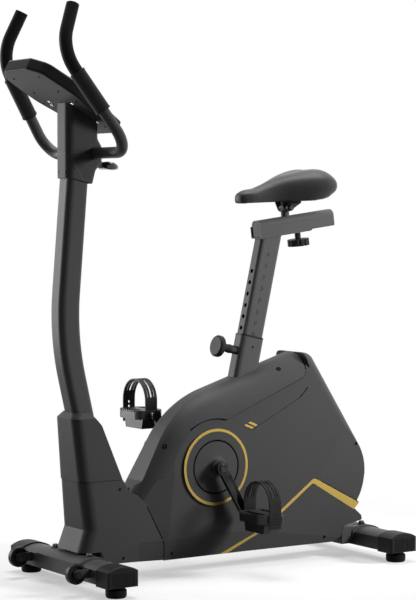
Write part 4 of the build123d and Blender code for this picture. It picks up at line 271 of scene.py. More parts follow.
def finish(name, colour, rough, grain=900.0, bump=0.0002, drift=0.12, wear_sheen=0.0, metal=0.0, coat=0.0, spec=0.2):
    """A finish from the shared groups: grained colour, edges paled as wear and as painted sheen, and a fine
    bump.
    """
    material = bpy.data.materials.new(name)
    material.use_nodes = True
    tree = material.node_tree
    shader = tree.nodes["Principled BSDF"]
    shader.inputs["Metallic"].default_value = metal
    shader.inputs["Coat Weight"].default_value = coat
    shader.inputs["Coat Roughness"].default_value = 0.12
    shader.inputs["Specular IOR Level"].default_value = spec
    skin = tree.nodes.new("ShaderNodeGroup")
    skin.node_tree = moulded_grain
    skin.inputs["Colour"].default_value = (*colour, 1)
    skin.inputs["Shade Drift"].default_value = drift
    skin.inputs["Gloss"].default_value = rough
    skin.inputs["Grain Scale"].default_value = grain
    shade = skin.outputs["Colour"]
    # Edge paling: partly wear, partly a painted sheen along the edges.
    if wear_sheen:
        wear_sheen_node = tree.nodes.new("ShaderNodeGroup")
        wear_sheen_node.node_tree = edge_wear_and_sheen
        wear_sheen_node.inputs["Wear And Sheen"].default_value = (*[min(1.0, 2.6 * c + 0.02) for c in colour], 1)
        wear_sheen_node.inputs["Amount"].default_value = wear_sheen
        tree.links.new(shade, wear_sheen_node.inputs["Colour"])
        shade = wear_sheen_node.outputs["Colour"]
    tree.links.new(shade, shader.inputs["Base Color"])
    tree.links.new(skin.outputs["Roughness"], shader.inputs["Roughness"])
    relief = tree.nodes.new("ShaderNodeBump")
    relief.inputs["Strength"].default_value = 0.35
    relief.inputs["Distance"].default_value = bump
    tree.links.new(skin.outputs["Height"], relief.inputs["Height"])
    tree.links.new(relief.outputs[0], shader.inputs["Normal"])
    return material


def upholstery_finish():
    """Stretched synthetic leather with a soft sheen."""
    material = finish("saddle_hide", (0.02, 0.02, 0.0205), 0.42, grain=300.0, drift=0.2, spec=0.16)
    tree = material.node_tree
    shader = tree.nodes["Principled BSDF"]
    shader.inputs["Sheen Weight"].default_value = 0.12
    shader.inputs["Sheen Roughness"].default_value = 0.5
    hide = tree.nodes.new("ShaderNodeGroup")
    hide.node_tree = hide_grain
    relief = tree.nodes["Bump"]
    relief.inputs["Strength"].default_value = 0.3
    relief.inputs["Distance"].default_value = 0.0003
    tree.links.new(hide.outputs["Height"], relief.inputs["Height"])
    return material


def console_finish():
    """Charcoal underside that turns black where the shell's rim stands above it."""
    material = finish("console_shell", (0.05, 0.05, 0.051), 0.42, grain=1900.0, bump=0.00016, spec=0.12)
    tree = material.node_tree
    shader = tree.nodes["Principled BSDF"]
    place = tree.nodes.new("ShaderNodeTexCoord").outputs["Object"]
    rise = tree.nodes.new("ShaderNodeVectorMath")
    rise.operation = "DOT_PRODUCT"
    rise.inputs[1].default_value = (sin(CONSOLE_TILT), 0, cos(CONSOLE_TILT))
    tree.links.new(place, rise.inputs[0])
    foot = MM * (CONSOLE_NOSE.x * sin(CONSOLE_TILT) + CONSOLE_NOSE.z * cos(CONSOLE_TILT))
    above = math_node(tree, "SUBTRACT", rise.outputs["Value"], foot + 0.0012)
    rim = math_node(tree, "MULTIPLY", above, 2000.0, clamp=True)
    plain = shader.inputs["Base Color"].links[0].from_socket
    tree.links.new(mixed_colour(tree, rim, plain, (0.012, 0.012, 0.0125, 1)), shader.inputs["Base Color"])
    gloss = shader.inputs["Roughness"].links[0].from_socket
    dulled = math_node(tree, "ADD", gloss, math_node(tree, "MULTIPLY", rim, 0.35))
    tree.links.new(dulled, shader.inputs["Roughness"])
    return material


FINISHES = {
    "painted_steel": finish(
        "powder_coat", (0.06, 0.06, 0.061), 0.42, grain=1500.0, bump=0.00012, wear_sheen=0.5, spec=0.14
    ),
    "casing_plastic": finish(
        "casing_charcoal", (0.05, 0.05, 0.051), 0.45, grain=1900.0, bump=0.00016, wear_sheen=0.35, spec=0.1
    ),
    "black_plastic": finish("moulded_black", (0.018, 0.018, 0.0185), 0.42, grain=1600.0, wear_sheen=0.6, spec=0.1),
    "gloss_black": finish(
        "console_gloss", (0.008, 0.008, 0.009), 0.16, grain=500.0, bump=0.00003, coat=0.6, spec=0.4
    ),
    "display": finish("display_glass", (0.05, 0.062, 0.06), 0.14, grain=200.0, bump=0.00002, coat=1.0),
    "gold_trim": finish("gold_paint", (0.42, 0.29, 0.075), 0.42, grain=1500.0, drift=0.1, wear_sheen=0.3),
    "rubber_black": finish("foot_rubber", (0.012, 0.012, 0.012), 0.6, grain=800.0, bump=0.0003, spec=0.06),
    "grip_foam": finish("grip_sleeve", (0.011, 0.011, 0.011), 0.5, grain=700.0, bump=0.0004, spec=0.06),
    "seat_cover": upholstery_finish(),
    "crank_black": finish(
        "crank_enamel", (0.014, 0.014, 0.015), 0.26, grain=700.0, bump=0.00008, coat=0.3, wear_sheen=0.5
    ),
    "bright_steel": finish(
        "bright_plate", (0.62, 0.62, 0.63), 0.2, grain=600.0, bump=0.00004, metal=1.0, spec=0.5
    ),
    "flywheel_iron": finish("turned_iron", (0.2, 0.2, 0.2), 0.4, grain=400.0, metal=1.0),
}
scale_ink = finish("scale_ink", (0.012, 0.012, 0.013), 0.6, grain=900.0)
# Pale grey for the shroud's seam: a painted highlight.
seam_painted_highlight = finish("seam_highlight", (0.12, 0.12, 0.12), 0.5, grain=900.0)
# Black with no gloss, a painted shade: laid as thin strips and rings where grooves, gaps and recesses fall in
# shade.
recess_painted_shade = finish("recess_shadow", (0.003, 0.003, 0.003), 0.8, grain=900.0, spec=0.0)
screw_black = finish("screw_black", (0.012, 0.012, 0.012), 0.34, grain=700.0, metal=0.6)
digit_ink = finish("digit_ink", (0.004, 0.005, 0.005), 0.5, grain=900.0)
mark_white = finish("button_mark", (0.5, 0.5, 0.5), 0.5, grain=900.0)

slot_of = {piece["node"]: piece["material_slot"] for piece in frame["record"]["subparts"]}
for node_name, node in nodes.items():
    node.data.materials.clear()
    node.data.materials.append(FINISHES[slot_of[node_name]])
# The pedals get strong edge paling: a painted highlight along their rims, with some wear.
pedal_black = finish("pedal_black", (0.026, 0.026, 0.0265), 0.36, grain=1600.0, wear_sheen=0.8, spec=0.3)
gloss_knob = finish("knob_gloss", (0.008, 0.008, 0.008), 0.12, grain=500.0, bump=0.00002, coat=0.8)
dark_plate = finish(
    "blackened_steel", (0.05, 0.05, 0.051), 0.3, grain=600.0, bump=0.00004, metal=0.8, spec=0.3
)
nodes["bar_knob"].data.materials[0] = gloss_knob
nodes["pedal_left"].data.materials[0] = pedal_black
nodes["pedal_right"].data.materials[0] = pedal_black
nodes["console_case"].data.materials[0] = console_finish()
for node_name in ("frame_bolts", "crank_axle", "pin_housing", "pedal_spindles"):
    nodes[node_name].data.materials[0] = dark_plate


# Making pieces


def place_piece(name, shape, material, body, smooth=True):
    """Turns a bmesh in millimetres into a piece that rides on a body."""
    bmesh.ops.recalc_face_normals(shape, faces=shape.faces)
    bmesh.ops.scale(shape, vec=(MM, MM, MM), verts=shape.verts)
    mesh = bpy.data.meshes.new(name)
    shape.to_mesh(mesh)
    shape.free()
    for polygon in mesh.polygons:
        polygon.use_smooth = smooth
    mesh.materials.append(material)
    piece = bpy.data.objects.new(name, mesh)
    bpy.context.scene.collection.objects.link(piece)
    if smooth:
        piece.data.set_sharp_from_angle(angle=radians(35))
    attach(piece, body)
    return piece


def dress_node(node_name, mesh, normals):
    """Shows a reshaped copy of a frame node's mesh in place of the node."""
    mesh.normals_split_custom_set(normals)
    piece = bpy.data.objects.new(f"dressed_{node_name}", mesh)
    bpy.context.scene.collection.objects.link(piece)
    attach(piece, "frame")
    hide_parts(node_name)


def faces_of(node_name):
    """A CAD node's faces, ready for rays."""
    mesh = nodes[node_name].data
    return BVHTree.FromPolygons([v.co for v in mesh.vertices], [f.vertices for f in mesh.polygons])


def lay_frame(origin, normal, along):
    """Matrix that stands local Z on a normal, with local X near a direction."""
    z_dir = Vector(normal).normalized()
    y_dir = z_dir.cross(Vector(along)).normalized()
    x_dir = y_dir.cross(z_dir)
    turn = Matrix((x_dir, y_dir, z_dir)).transposed().to_4x4()
    turn.translation = Vector(origin)
    return turn


def loop_of(shape, points):
    return [shape.verts.new(point) for point in points]


def bridge(shape, lower, upper):
    count = len(lower)
    for i in range(count):
        j = (i + 1) % count
        shape.faces.new((lower[i], lower[j], upper[j], upper[i]))


def add_turning(shape, profile, matrix, segments=32, looped=False):
    """Revolves (radius, height) pairs round local Z, closed on the axis or, for a ring, from end to start."""
    rings = []
    for radius, height in profile:
        if radius < 1e-6:
            rings.append([shape.verts.new(matrix @ Vector((0, 0, height)))])
            continue
        turns = (2 * pi * i / segments for i in range(segments))
        points = [matrix @ Vector((radius * cos(a), radius * sin(a), height)) for a in turns]
        rings.append(loop_of(shape, points))
    for lower, upper in zip(rings, rings[1:]):
        if len(lower) == 1:
            for i in range(segments):
                shape.faces.new((lower[0], upper[i], upper[(i + 1) % segments]))
        elif len(upper) == 1:
            for i in range(segments):
                shape.faces.new((lower[i], lower[(i + 1) % segments], upper[0]))
        else:
            bridge(shape, lower, upper)
    if looped:
        bridge(shape, rings[-1], rings[0])
        return
    for ring in (rings[0], rings[-1]):
        if len(ring) > 1:
            shape.faces.new(ring)


def add_cross_screw(shape, matrix, radius, height):
    """A domed screw head with a cross recess, standing on local Z 0."""
    arm, reach, deep = 0.16 * radius, 0.56 * radius, 0.45 * height
    segments = 24
    rings = []
    for share, level in ((1.0, 0.0), (1.0, 0.35), (0.9, 0.75), (0.72, 1.0)):
        turns = (2 * pi * i / segments for i in range(segments))
        wide, up = share * radius, level * height
        rings.append(loop_of(shape, [matrix @ Vector((wide * cos(a), wide * sin(a), up)) for a in turns]))
    for lower, upper in zip(rings, rings[1:]):
        bridge(shape, lower, upper)
    shape.faces.new(rings[0])
    outline = []
    for quarter in range(4):
        turn = Matrix.Rotation(quarter * pi / 2, 3, "Z")
        for x, y in ((reach, -arm), (reach, arm), (arm, arm)):
            outline.append(turn @ Vector((x, y, 0)))
    top = loop_of(shape, [matrix @ (p + Vector((0, 0, height))) for p in outline])
    floor = loop_of(shape, [matrix @ (0.8 * p + Vector((0, 0, height - deep))) for p in outline])
    bridge(shape, top, floor)
    shape.faces.new(floor)
    edges = []
    for ring in (rings[-1], top):
        for i in range(len(ring)):
            first, second = ring[i], ring[(i + 1) % len(ring)]
            edges.append(shape.edges.get((first, second)) or shape.edges.new((first, second)))
    bmesh.ops.triangle_fill(shape, edges=edges, use_beauty=True)


def add_plate(shape, matrix, outline, thick):
    """A flat plate: an outline in local X and Y, raised along local Z."""
    low = loop_of(shape, [matrix @ Vector((x, y, 0)) for x, y in outline])
    high = loop_of(shape, [matrix @ Vector((x, y, thick)) for x, y in outline])
    bridge(shape, low, high)
    shape.faces.new(low)
    shape.faces.new(high)


def box_outline(x0, y0, x1, y1):
    return ((x0, y0), (x1, y0), (x1, y1), (x0, y1))


def console_place(along, across, up):
    """Matrix on the console: along its fall, across it, and square to its face."""
    fall = Vector((cos(CONSOLE_TILT), 0, -sin(CONSOLE_TILT)))
    rise = Vector((sin(CONSOLE_TILT), 0, cos(CONSOLE_TILT)))
    matrix = Matrix((fall, Vector((0, 1, 0)), rise)).transposed().to_4x4()
    matrix.translation = CONSOLE_NOSE + fall * along + Vector((0, across, 0)) + rise * up
    return matrix


# Saddle

SADDLE_VOXEL = 0.005
SADDLE_PRESSURE = 4.0
SADDLE_STEPS = 20
SADDLE_DROOP = 7.0
SADDLE_RIM = 6.0
SADDLE_SWELL = 0.0015
SADDLE_LOW = 952.3
SADDLE_HALVES = (
    (117.0, 20.0),
    (130.0, 28.0),
    (150.0, 33.0),
    (190.0, 38.0),
    (210.0, 45.0),
    (230.0, 55.0),
    (250.0, 66.0),
    (290.0, 92.0),
    (330.0, 106.0),
    (370.0, 102.0),
    (388.0, 85.0),
)


def eased(value):
    """0 to 1 with soft ends."""
    value = min(1.0, max(0.0, value))
    return value * value * (3 - 2 * value)


def saddle_half(x):
    """Half the saddle's width at a place along it."""
    for (x0, half0), (x1, half1) in zip(SADDLE_HALVES, SADDLE_HALVES[1:]):
        if x <= x1:
            return half0 + (half1 - half0) * max(0.0, x - x0) / (x1 - x0)
    return SADDLE_HALVES[-1][1]


def shaped_saddle(place):
    """Droops the nose, draws in the waist and turns the lower rim down over the pan."""
    x, y, z = place
    low = SADDLE_LOW + 0.045 * (x - SADDLE_HALVES[0][0])
    fall = eased((280.0 - x) / 95.0) * (1.0 - 0.9 * eased((172.0 - x) / 45.0))
    droop = SADDLE_DROOP * fall * eased((z - low) / 30.0)
    waist = 1.0 - 0.12 * eased(1.0 - abs(x - 205.0) / 60.0)
    outer = eased((abs(y) / saddle_half(x) - 0.5) / 0.3)
    nose = eased((150.0 - x) / 15.0)
    rim = SADDLE_RIM * eased((low + 18.0 - z) / 14.0) * max(outer, nose) * eased((375.0 - x) / 30.0)
    return Vector((x, y * waist, z - droop - rim))


def upholstered_saddle():
    """The saddle's cover: the CAD form drawn in, inflated as cloth and smoothed."""
    source = nodes["saddle_cushion"]
    mesh = source.data.copy()
    cover = bpy.data.objects.new("saddle_cover", mesh)
    bpy.context.scene.collection.objects.link(cover)
    bpy.context.view_layer.objects.active = cover
    remesh = cover.modifiers.new("even_mesh", "REMESH")
    remesh.mode = "VOXEL"
    remesh.voxel_size = SADDLE_VOXEL
    relax = cover.modifiers.new("relax", "SMOOTH")
    relax.factor = 0.5
    relax.iterations = 6
    bpy.context.view_layer.update()
    even = bpy.data.meshes.new_from_object(cover.evaluated_get(bpy.context.evaluated_depsgraph_get()))
    cover.modifiers.clear()
    cover.data = even
    rest = [v.co.copy() for v in even.vertices]
    lowest = min(p.z for p in rest)
    cloth = cover.modifiers.new("stuffing", "CLOTH")
    cloth.settings.use_pressure = True
    cloth.settings.uniform_pressure_force = SADDLE_PRESSURE
    cloth.settings.effector_weights.gravity = 0.0
    cloth.settings.quality = 5
    cloth.collision_settings.use_collision = False
    scene = bpy.context.scene
    for step in range(1, SADDLE_STEPS + 1):
        scene.frame_set(step)
    swollen = bpy.data.meshes.new_from_object(cover.evaluated_get(bpy.context.evaluated_depsgraph_get()))
    cover.modifiers.clear()
    scene.frame_set(1)
    cover.data = swollen
    for vertex, home in zip(swollen.vertices, rest):
        shift = vertex.co - home
        if shift.length > SADDLE_SWELL:
            shift = shift * (SADDLE_SWELL / shift.length)
        floor_share = min(1.0, max(0.0, (home.z - lowest - 0.012) / 0.02))
        vertex.co = home + shift * floor_share
    for vertex in cover.data.vertices:
        vertex.co = shaped_saddle(vertex.co / MM) * MM
    for polygon in cover.data.polygons:
        polygon.use_smooth = True
    cover.data.materials.clear()
    cover.data.materials.append(FINISHES["seat_cover"])
    smooth = cover.modifiers.new("smooth", "SUBSURF")
    smooth.levels = 1
    smooth.render_levels = 1
    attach(cover, "saddle")
    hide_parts("saddle_cushion")


upholstered_saddle()


# Casing halves


def facet_depth(x, z):
    """Distance behind the rear facet's line, and half the casing's width on the facet there."""
    run = (FACET_LINE[1] - FACET_LINE[0]).normalized()
    behind = (x - FACET_LINE[0].x) * run.y - (z - FACET_LINE[0].y) * run.x
    return behind, CASE_SIDE - behind * tan(FACET_LEAN)


def facet_edge(x):
    """Height of the facet's lower edge along the stripe."""
    return FACET_LINE[0].y - (x - FACET_LINE[0].x) * FACET_FALL


def dressed_casing(side_name, side):
    """A casing half whose rear facet runs out through the rounded rear edge."""
    source = nodes[f"casing_{side_name}"].data
    mesh = source.copy()
    run = (FACET_LINE[1] - FACET_LINE[0]).normalized()
    lean = Vector((run.y * sin(FACET_LEAN), side * cos(FACET_LEAN), -run.x * sin(FACET_LEAN)))
    moved = set()
    for vertex in mesh.vertices:
        x, y, z = vertex.co / MM
        behind, half = facet_depth(x, z)
        if behind > FACET_REACH - 0.2 and z > facet_edge(x) - 0.2 and side * y > half:
            vertex.co.y = side * half * MM
            moved.add(vertex.index)
    normals = [
        lean if loop.vertex_index in moved else Vector(corner.vector)
        for loop, corner in zip(source.loops, source.corner_normals)
    ]
    dress_node(f"casing_{side_name}", mesh, normals)


def casing_half_width(x, z):
    """Half the casing's width at a place on its side, or None in an opening."""
    place, _, _, _ = casing_faces.ray_cast(Vector((x, -200, z)) * MM, Vector((0, 1, 0)))
    return -place.y / MM if place else None


def filled_row(z, places):
    """Half widths along a row, carried over an opening by a cubic through two places on each side."""
    widths = [casing_half_width(x, z) for x in places]
    known = [(x, width) for x, width in zip(places, widths) if width is not None]
    row = []
    for x, width in zip(places, widths):
        if width is None:
            before = [pair for pair in known if pair[0] < x][-3::2]
            after = [pair for pair in known if pair[0] > x][:3:2]
            width = 0.0
            for here, value in before + after:
                share = 1.0
                for other, _ in before + after:
                    if other != here:
                        share *= (x - other) / (here - other)
                width += value * share
        row.append(width)
    return row


def add_casing_fill(shape, side):
    """A thin skin that carries the rounded band over the corner beside the crank ring."""
    places = [-112.0 + 2.0 * i for i in range(19)]
    levels = [345.0 + 2.0 * i for i in range(16)]
    rows = [filled_row(z, places) for z in levels]
    skins = []
    for inset in (0.0, 1.5):
        skin = []
        for i, z in enumerate(levels):
            line = []
            for j, x in enumerate(places):
                rim = i in (0, len(levels) - 1) or j in (0, len(places) - 1)
                line.append(shape.verts.new((x, side * (rows[i][j] + (-0.5 if rim else 0.1) - inset), z)))
            skin.append(line)
        skins.append(skin)
    for skin in skins:
        for i in range(len(levels) - 1):
            for j in range(len(places) - 1):
                shape.faces.new((skin[i][j], skin[i][j + 1], skin[i + 1][j + 1], skin[i + 1][j]))
    rings = [
        skin[0] + [line[-1] for line in skin[1:]] + skin[-1][-2::-1] + [line[0] for line in skin[-2:0:-1]]
        for skin in skins
    ]
    bridge(shape, rings[0], rings[1])


casing_faces = faces_of("casing_left")
stripe_edge_shades = bmesh.new()
for side_name, side in (("left", -1), ("right", 1)):
    fill = bmesh.new()
    add_casing_fill(fill, side)
    place_piece(f"casing_fill_{side_name}", fill, FINISHES["casing_plastic"], "frame")
    dressed_casing(side_name, side)
    # The black strip along the stripe's upper edge is a painted shadow where the facet falls away from the
    # stripe.
    shade_seat = lay_frame((0, side * (CASE_SIDE - 0.05), 0), (0, side, 0), (1, 0, 0))
    corners = ((322.0, 0.4), (FACET_FOOT, 0.4), (FACET_FOOT, 2.6), (322.0, 2.6))
    add_plate(stripe_edge_shades, shade_seat, [(x, -side * (facet_edge(x) - drop)) for x, drop in corners], 0.15)
place_piece("stripe_edge_shades", stripe_edge_shades, recess_painted_shade, "frame", smooth=False)


# Painted shadow along the lower edge of the casing's raised band, and painted shade in the seam of the front
# cover


def band_edge():
    """Places (x, z) along the band's lower edge: over the crank ring, along the side and up its rear end."""
    first, last = BAND_ARC_ENDS
    arc = [first + (last - first) * i / 14 for i in range(15)]
    places = [Vector((BAND_ARC * cos(a), CRANK_Z + BAND_ARC * sin(a))) for a in arc]
    start, (stop, middle) = places[-1], BAND_END
    places += [start.lerp(stop, i / 20) for i in range(1, 21)]
    bend = [BAND_END_TURN * (i / 6 - 1) for i in range(1, 7)]
    places += [middle + BAND_END_ROUND * Vector((cos(a), sin(a))) for a in bend]
    corner = places[-1]
    return places + [Vector((corner.x, corner.y + (BAND_TOP_Z - corner.y) * i / 5)) for i in range(1, 6)]


def cover_seam(inset):
    """Places (x, z) down the cover's rear edge, a little ahead of it."""
    top, bend_start, corner, bend_end, foot = (Vector((x - inset, z)) for x, z in COVER_SEAM)
    places = [top.lerp(bend_start, i / 14) for i in range(15)]
    shares = [i / 5 for i in range(1, 6)]
    places += [bend_start.lerp(corner, t).lerp(corner.lerp(bend_end, t), t) for t in shares]
    return places + [bend_end.lerp(foot, i / 6) for i in range(1, 7)]


def add_surface_line(shape, faces, side, places, half):
    """A thin strip laid on a moulding's side through a row of places; here black, as painted shade."""
    on_side = []
    for x, z in places:
        place, normal, _, _ = faces.ray_cast(Vector((x, -200, z)) * MM, Vector((0, 1, 0)))
        if place:
            on_side.append((place / MM * Vector((1, -side, 1)), normal * Vector((1, -side, 1))))
    for (first, out), (second, next_out) in zip(on_side, on_side[1:]):
        run, facing = second - first, (out + next_out).normalized()
        seat = lay_frame((first + second) / 2 - facing * 0.15, facing, run)
        add_plate(shape, seat, box_outline(-run.length / 2 - 0.1, -half, run.length / 2 + 0.1, half), 0.35)


cover_faces = faces_of("front_cover")
cover_seam_shades = bmesh.new()
band_edge_shadows = bmesh.new()
# Black strips: a painted shadow under the band's step and painted shade in the cover's seam.
for side in (-1, 1):
    add_surface_line(cover_seam_shades, cover_faces, side, cover_seam(SEAM_SHADE_INSET), SEAM_SHADE_HALF)
    add_surface_line(band_edge_shadows, casing_faces, side, band_edge(), BAND_SHADOW_HALF)
place_piece("cover_seam_shades", cover_seam_shades, recess_painted_shade, "frame", smooth=False)
place_piece("band_edge_shadows", band_edge_shadows, recess_painted_shade, "frame", smooth=False)


# Mast and its shroud


def mast_front(x, z):
    """How far a place stands ahead of the mast's middle line, and the way ahead there."""
    place = Vector((x, z)) - MAST_KNEE
    below, above = MAST_LEANS
    down, up = Vector((sin(below), -cos(below))), Vector((sin(above), cos(above)))
    turn = (below + above) / 2
    straight = MAST_BEND * tan(turn)
    if place.dot(down) > straight:
        ahead = Vector((-cos(below), -sin(below)))
        return place.dot(ahead), ahead
    if place.dot(up) > straight:
        ahead = Vector((-cos(above), sin(above)))
        return place.dot(ahead), ahead
    spoke = place - (down + up).normalized() * (MAST_BEND / cos(turn))
    return spoke.length - MAST_BEND, spoke.normalized()


def dressed_mast():
    """The mast with its outer front corners rounded further."""
    source = nodes["mast"].data
    mesh = source.copy()
    normals = [Vector(corner.vector) for corner in source.corner_normals]
    for vertex in mesh.vertices:
        x, y, z = vertex.co / MM
        reach, way = mast_front(x, z)
        ahead = reach - (MAST_DEPTH / 2 - MAST_CORNER)
        aside = abs(y) - (MAST_WIDTH / 2 - MAST_CORNER)
        if ahead < -0.05 or aside < -0.05 or hypot(ahead, aside) < MAST_CORNER - 1.0:
            continue
        grown = MAST_ROUND / MAST_CORNER
        shift = MAST_DEPTH / 2 - MAST_ROUND + ahead * grown - reach
        half = MAST_WIDTH / 2 - MAST_ROUND + aside * grown
        vertex.co = Vector((x + way.x * shift, half if y > 0 else -half, z + way.y * shift)) * MM
    dress_node("mast", mesh, normals)


def dressed_shroud(node_name):
    """A shroud half whose front corners are rounded further."""
    source = nodes[node_name].data
    mesh = source.copy()
    normals = [Vector(corner.vector) for corner in source.corner_normals]
    for vertex in mesh.vertices:
        x, y, z = vertex.co / MM
        ahead = SHROUD_FRONT + SHROUD_CORNER - x
        aside = abs(y) - (SHROUD_HALF - SHROUD_CORNER)
        if ahead < -0.05 or aside < -0.05:
            continue
        grown = 1 + (SHROUD_ROUND - SHROUD_CORNER) / max(hypot(ahead, aside), 1.0)
        x = SHROUD_FRONT + SHROUD_ROUND - ahead * grown
        half = SHROUD_HALF - SHROUD_ROUND + aside * grown
        vertex.co = Vector((x, half if y > 0 else -half, z)) * MM
    dress_node(node_name, mesh, normals)


def seam_path():
    """Points and outward directions where the two shroud halves meet, from side to side round the front."""
    corner = SHROUD_FRONT + SHROUD_ROUND
    inner = SHROUD_HALF - SHROUD_ROUND
    flat = [(SEAM_START[0] - 1.5, -SHROUD_HALF, (0, -1))]
    for i in range(9):
        turn = radians(90 - 90 * i / 8)
        out = (-cos(turn), -sin(turn))
        flat.append((corner + SHROUD_ROUND * out[0], -inner + SHROUD_ROUND * out[1], out))
    flat += [(x, -y, (out[0], -out[1])) for x, y, out in reversed(flat)]
    start_x, start_z = SEAM_START
    return [(Vector((x, y, start_z - SEAM_SLOPE * (x - start_x))), Vector((*out, 0))) for x, y, out in flat]


dressed_mast()
dressed_shroud("shroud_front")
dressed_shroud("shroud_rear")
# A pale line where the shroud halves meet: a painted highlight along the seam's edge.
shroud_seam_highlight = bmesh.new()
path = seam_path()
for (first, out), (second, next_out) in zip(path, path[1:]):
    if (second - first).length > 0.01:
        half_run = (second - first).length / 2
        seat = lay_frame((first + second) / 2 - (out + next_out) * 0.1, out + next_out, second - first)
        add_plate(shroud_seam_highlight, seat, box_outline(-half_run, -0.45, half_run, 0.45), 0.35)
place_piece("shroud_seam_highlight", shroud_seam_highlight, seam_painted_highlight, "frame", smooth=False)


# Screws

casing_screws = bmesh.new()
# Sunk screws sit in black rings: painted shade in their holes.
screw_hole_shades = bmesh.new()
for seat, normal in CASE_SCREWS:
    for side in (-1, 1):
        to_side = Vector((1, side, 1))
        seating = lay_frame(Vector(seat) * to_side, Vector(normal) * to_side, (1, 0, 0.3))
        cupped = (seat, normal) in CASE_SCREWS[:CUPPED_SCREWS]
        add_cross_screw(casing_screws, seating, *(CUPPED_SCREW if cupped else CASE_SCREW))
        if cupped:
            add_turning(screw_hole_shades, SCREW_HOLE_SHADE, seating, 32, looped=True)
place_piece("casing_screws", casing_screws, screw_black, "frame")
place_piece("screw_hole_shades", screw_hole_shades, recess_painted_shade, "frame")

console_screws = bmesh.new()
for along, across in (
    (35.3, 60.0),
    (38.5, -62.0),
    (99.3, 57.3),
    (103.6, -56.0),
    (146.0, 82.0),
    (147.5, -76.0),
    (266.0, -43.2),
    (266.0, 43.2),
):
    seat = console_place(along, across, 0.0)
    add_cross_screw(console_screws, seat @ Matrix.Rotation(pi, 4, "X"), 3.6, 1.4)
place_piece("console_screws", console_screws, screw_black, "frame")

bracket_screws = bmesh.new()
for along, across in ((141.0, 44.0), (155.9, 54.0), (158.2, -44.0), (243.4, -39.0), (243.4, 39.0)):
    seat = console_place(along, across, 0.0)
    add_cross_screw(bracket_screws, seat @ Matrix.Rotation(pi, 4, "X"), 4.4, 2.2)
place_piece("bracket_screws", bracket_screws, FINISHES["bright_steel"], "frame")

small_fixings = bmesh.new()
for side in (-1, 1):
    tube_seat = (150.5, side * (TUBE_SIDE - 0.2), 572.0)
    add_cross_screw(small_fixings, lay_frame(tube_seat, (0, side, 0), (1, 0, 0.2)), 3.4, 1.0)
    shroud_seat = (SHROUD_FRONT + 0.4, side * 16.0, 1024.8)
    add_cross_screw(small_fixings, lay_frame(shroud_seat, (-1, 0, 0), (0, 1, 0.3)), 3.4, 1.1)
    axle = Vector((WHEEL_AXLE.x, side * WHEEL_AXLE.y, WHEEL_AXLE.z))
    add_cross_screw(small_fixings, lay_frame(axle, (0, side, 0), (1, 0, 0)), 6.5, 2.6)
place_piece("small_fixings", small_fixings, screw_black, "frame")

crank_caps = bmesh.new()
for side in (-1, 1):
    seat = lay_frame((0, side * (AXLE_END - 0.4), CRANK_Z), (0, side, 0), (1, 0, 0))
    add_turning(crank_caps, ((13.4, 0), (13.4, 1.6), (12.4, 3.0), (9.0, 4.2), (8.2, 3.8), (0, 4.4)), seat, 40)
place_piece("crank_caps", crank_caps, FINISHES["crank_black"], "crank")

# A black ring at the disc's rim: painted shade in the groove round the disc.
disc_groove_shades = bmesh.new()
for side in (-1, 1):
    seat = lay_frame((0, side * DISC_FACE, CRANK_Z), (0, side, 0), (1, 0, 0))
    steps = ((4.0, -0.3), (3.7, 0.4), (0.4, 0.25), (0.2, -0.3))
    add_turning(disc_groove_shades, [(DISC_RADIUS - inset, up) for inset, up in steps], seat, 96, looped=True)
place_piece("disc_groove_shades", disc_groove_shades, recess_painted_shade, "crank")


# Pedal straps


def strap_path():
    """Points (across, up) and outward directions along the strap, from its inner foot to its tail."""
    rise = (STRAP_SPRING - STRAP_FOOT) / 4
    path = [(-STRAP_RADIUS, STRAP_FOOT + i * rise, (-1.0, 0.0), "foot") for i in range(4)]
    for i in range(49):
        turn = pi - pi * i / 48
        share = i / 48
        zone = "slot" if 0.06 < share < 0.42 or 0.54 < share < 0.86 else "band"
        out = (cos(turn), sin(turn))
        path.append((STRAP_RADIUS * out[0], STRAP_SPRING + STRAP_RADIUS * out[1], out, zone))
    steps = 20
    for i in range(1, steps + 1):
        up = STRAP_SPRING + (STRAP_TAIL - STRAP_SPRING) * i / steps
        path.append((STRAP_RADIUS, up, (1.0, 0.0), "hole" if i % 4 in (2, 3) and i < 12 else "tail"))
    return path


def add_strap(shape, side, x_mid, z_mid):
    """A strap with lengthwise slots over its haunches and a row of holes down its tail."""
    path = strap_path()
    columns = [-STRAP_HALF, -10.6, -8.4, -2.4, 2.4, 8.4, 10.6, STRAP_HALF]
    skins = []
    for offset in (STRAP_THICK / 2, -STRAP_THICK / 2):
        skin = []
        for across, up, out, _ in path:
            y, z = side * (STRAP_MIDDLE + across + out[0] * offset), z_mid + up + out[1] * offset
            skin.append([shape.verts.new((x_mid + x, y, z)) for x in columns])
        skins.append(skin)
    kept = set()
    for i in range(len(path) - 1):
        for j in range(len(columns) - 1):
            if path[i][3] == "slot" and j in (1, 5):
                continue
            if path[i][3] in ("slot", "hole") and j == 3:
                continue
            kept.add((i, j))
    for i, j in kept:
        corners = ((i, j), (i, j + 1), (i + 1, j + 1), (i + 1, j))
        for skin in skins:
            shape.faces.new([skin[a][b] for a, b in corners])
        neighbours = ((i - 1, j), (i, j + 1), (i + 1, j), (i, j - 1))
        for first, second, beyond in zip(corners, corners[1:] + corners[:1], neighbours):
            if beyond not in kept:
                outer = [skins[0][a][b] for a, b in (first, second)]
                inner = [skins[1][a][b] for a, b in (second, first)]
                shape.faces.new(outer + inner)


def rounded_box(x0, y0, x1, y1, radius, steps=5):
    outline = []
    for cx, cy, start in (
        (x1 - radius, y1 - radius, 0),
        (x0 + radius, y1 - radius, 90),
        (x0 + radius, y0 + radius, 180),
        (x1 - radius, y0 + radius, 270),
    ):
        for i in range(steps + 1):
            turn = radians(start + 90 * i / steps)
            outline.append((cx + radius * cos(turn), cy + radius * sin(turn)))
    return outline


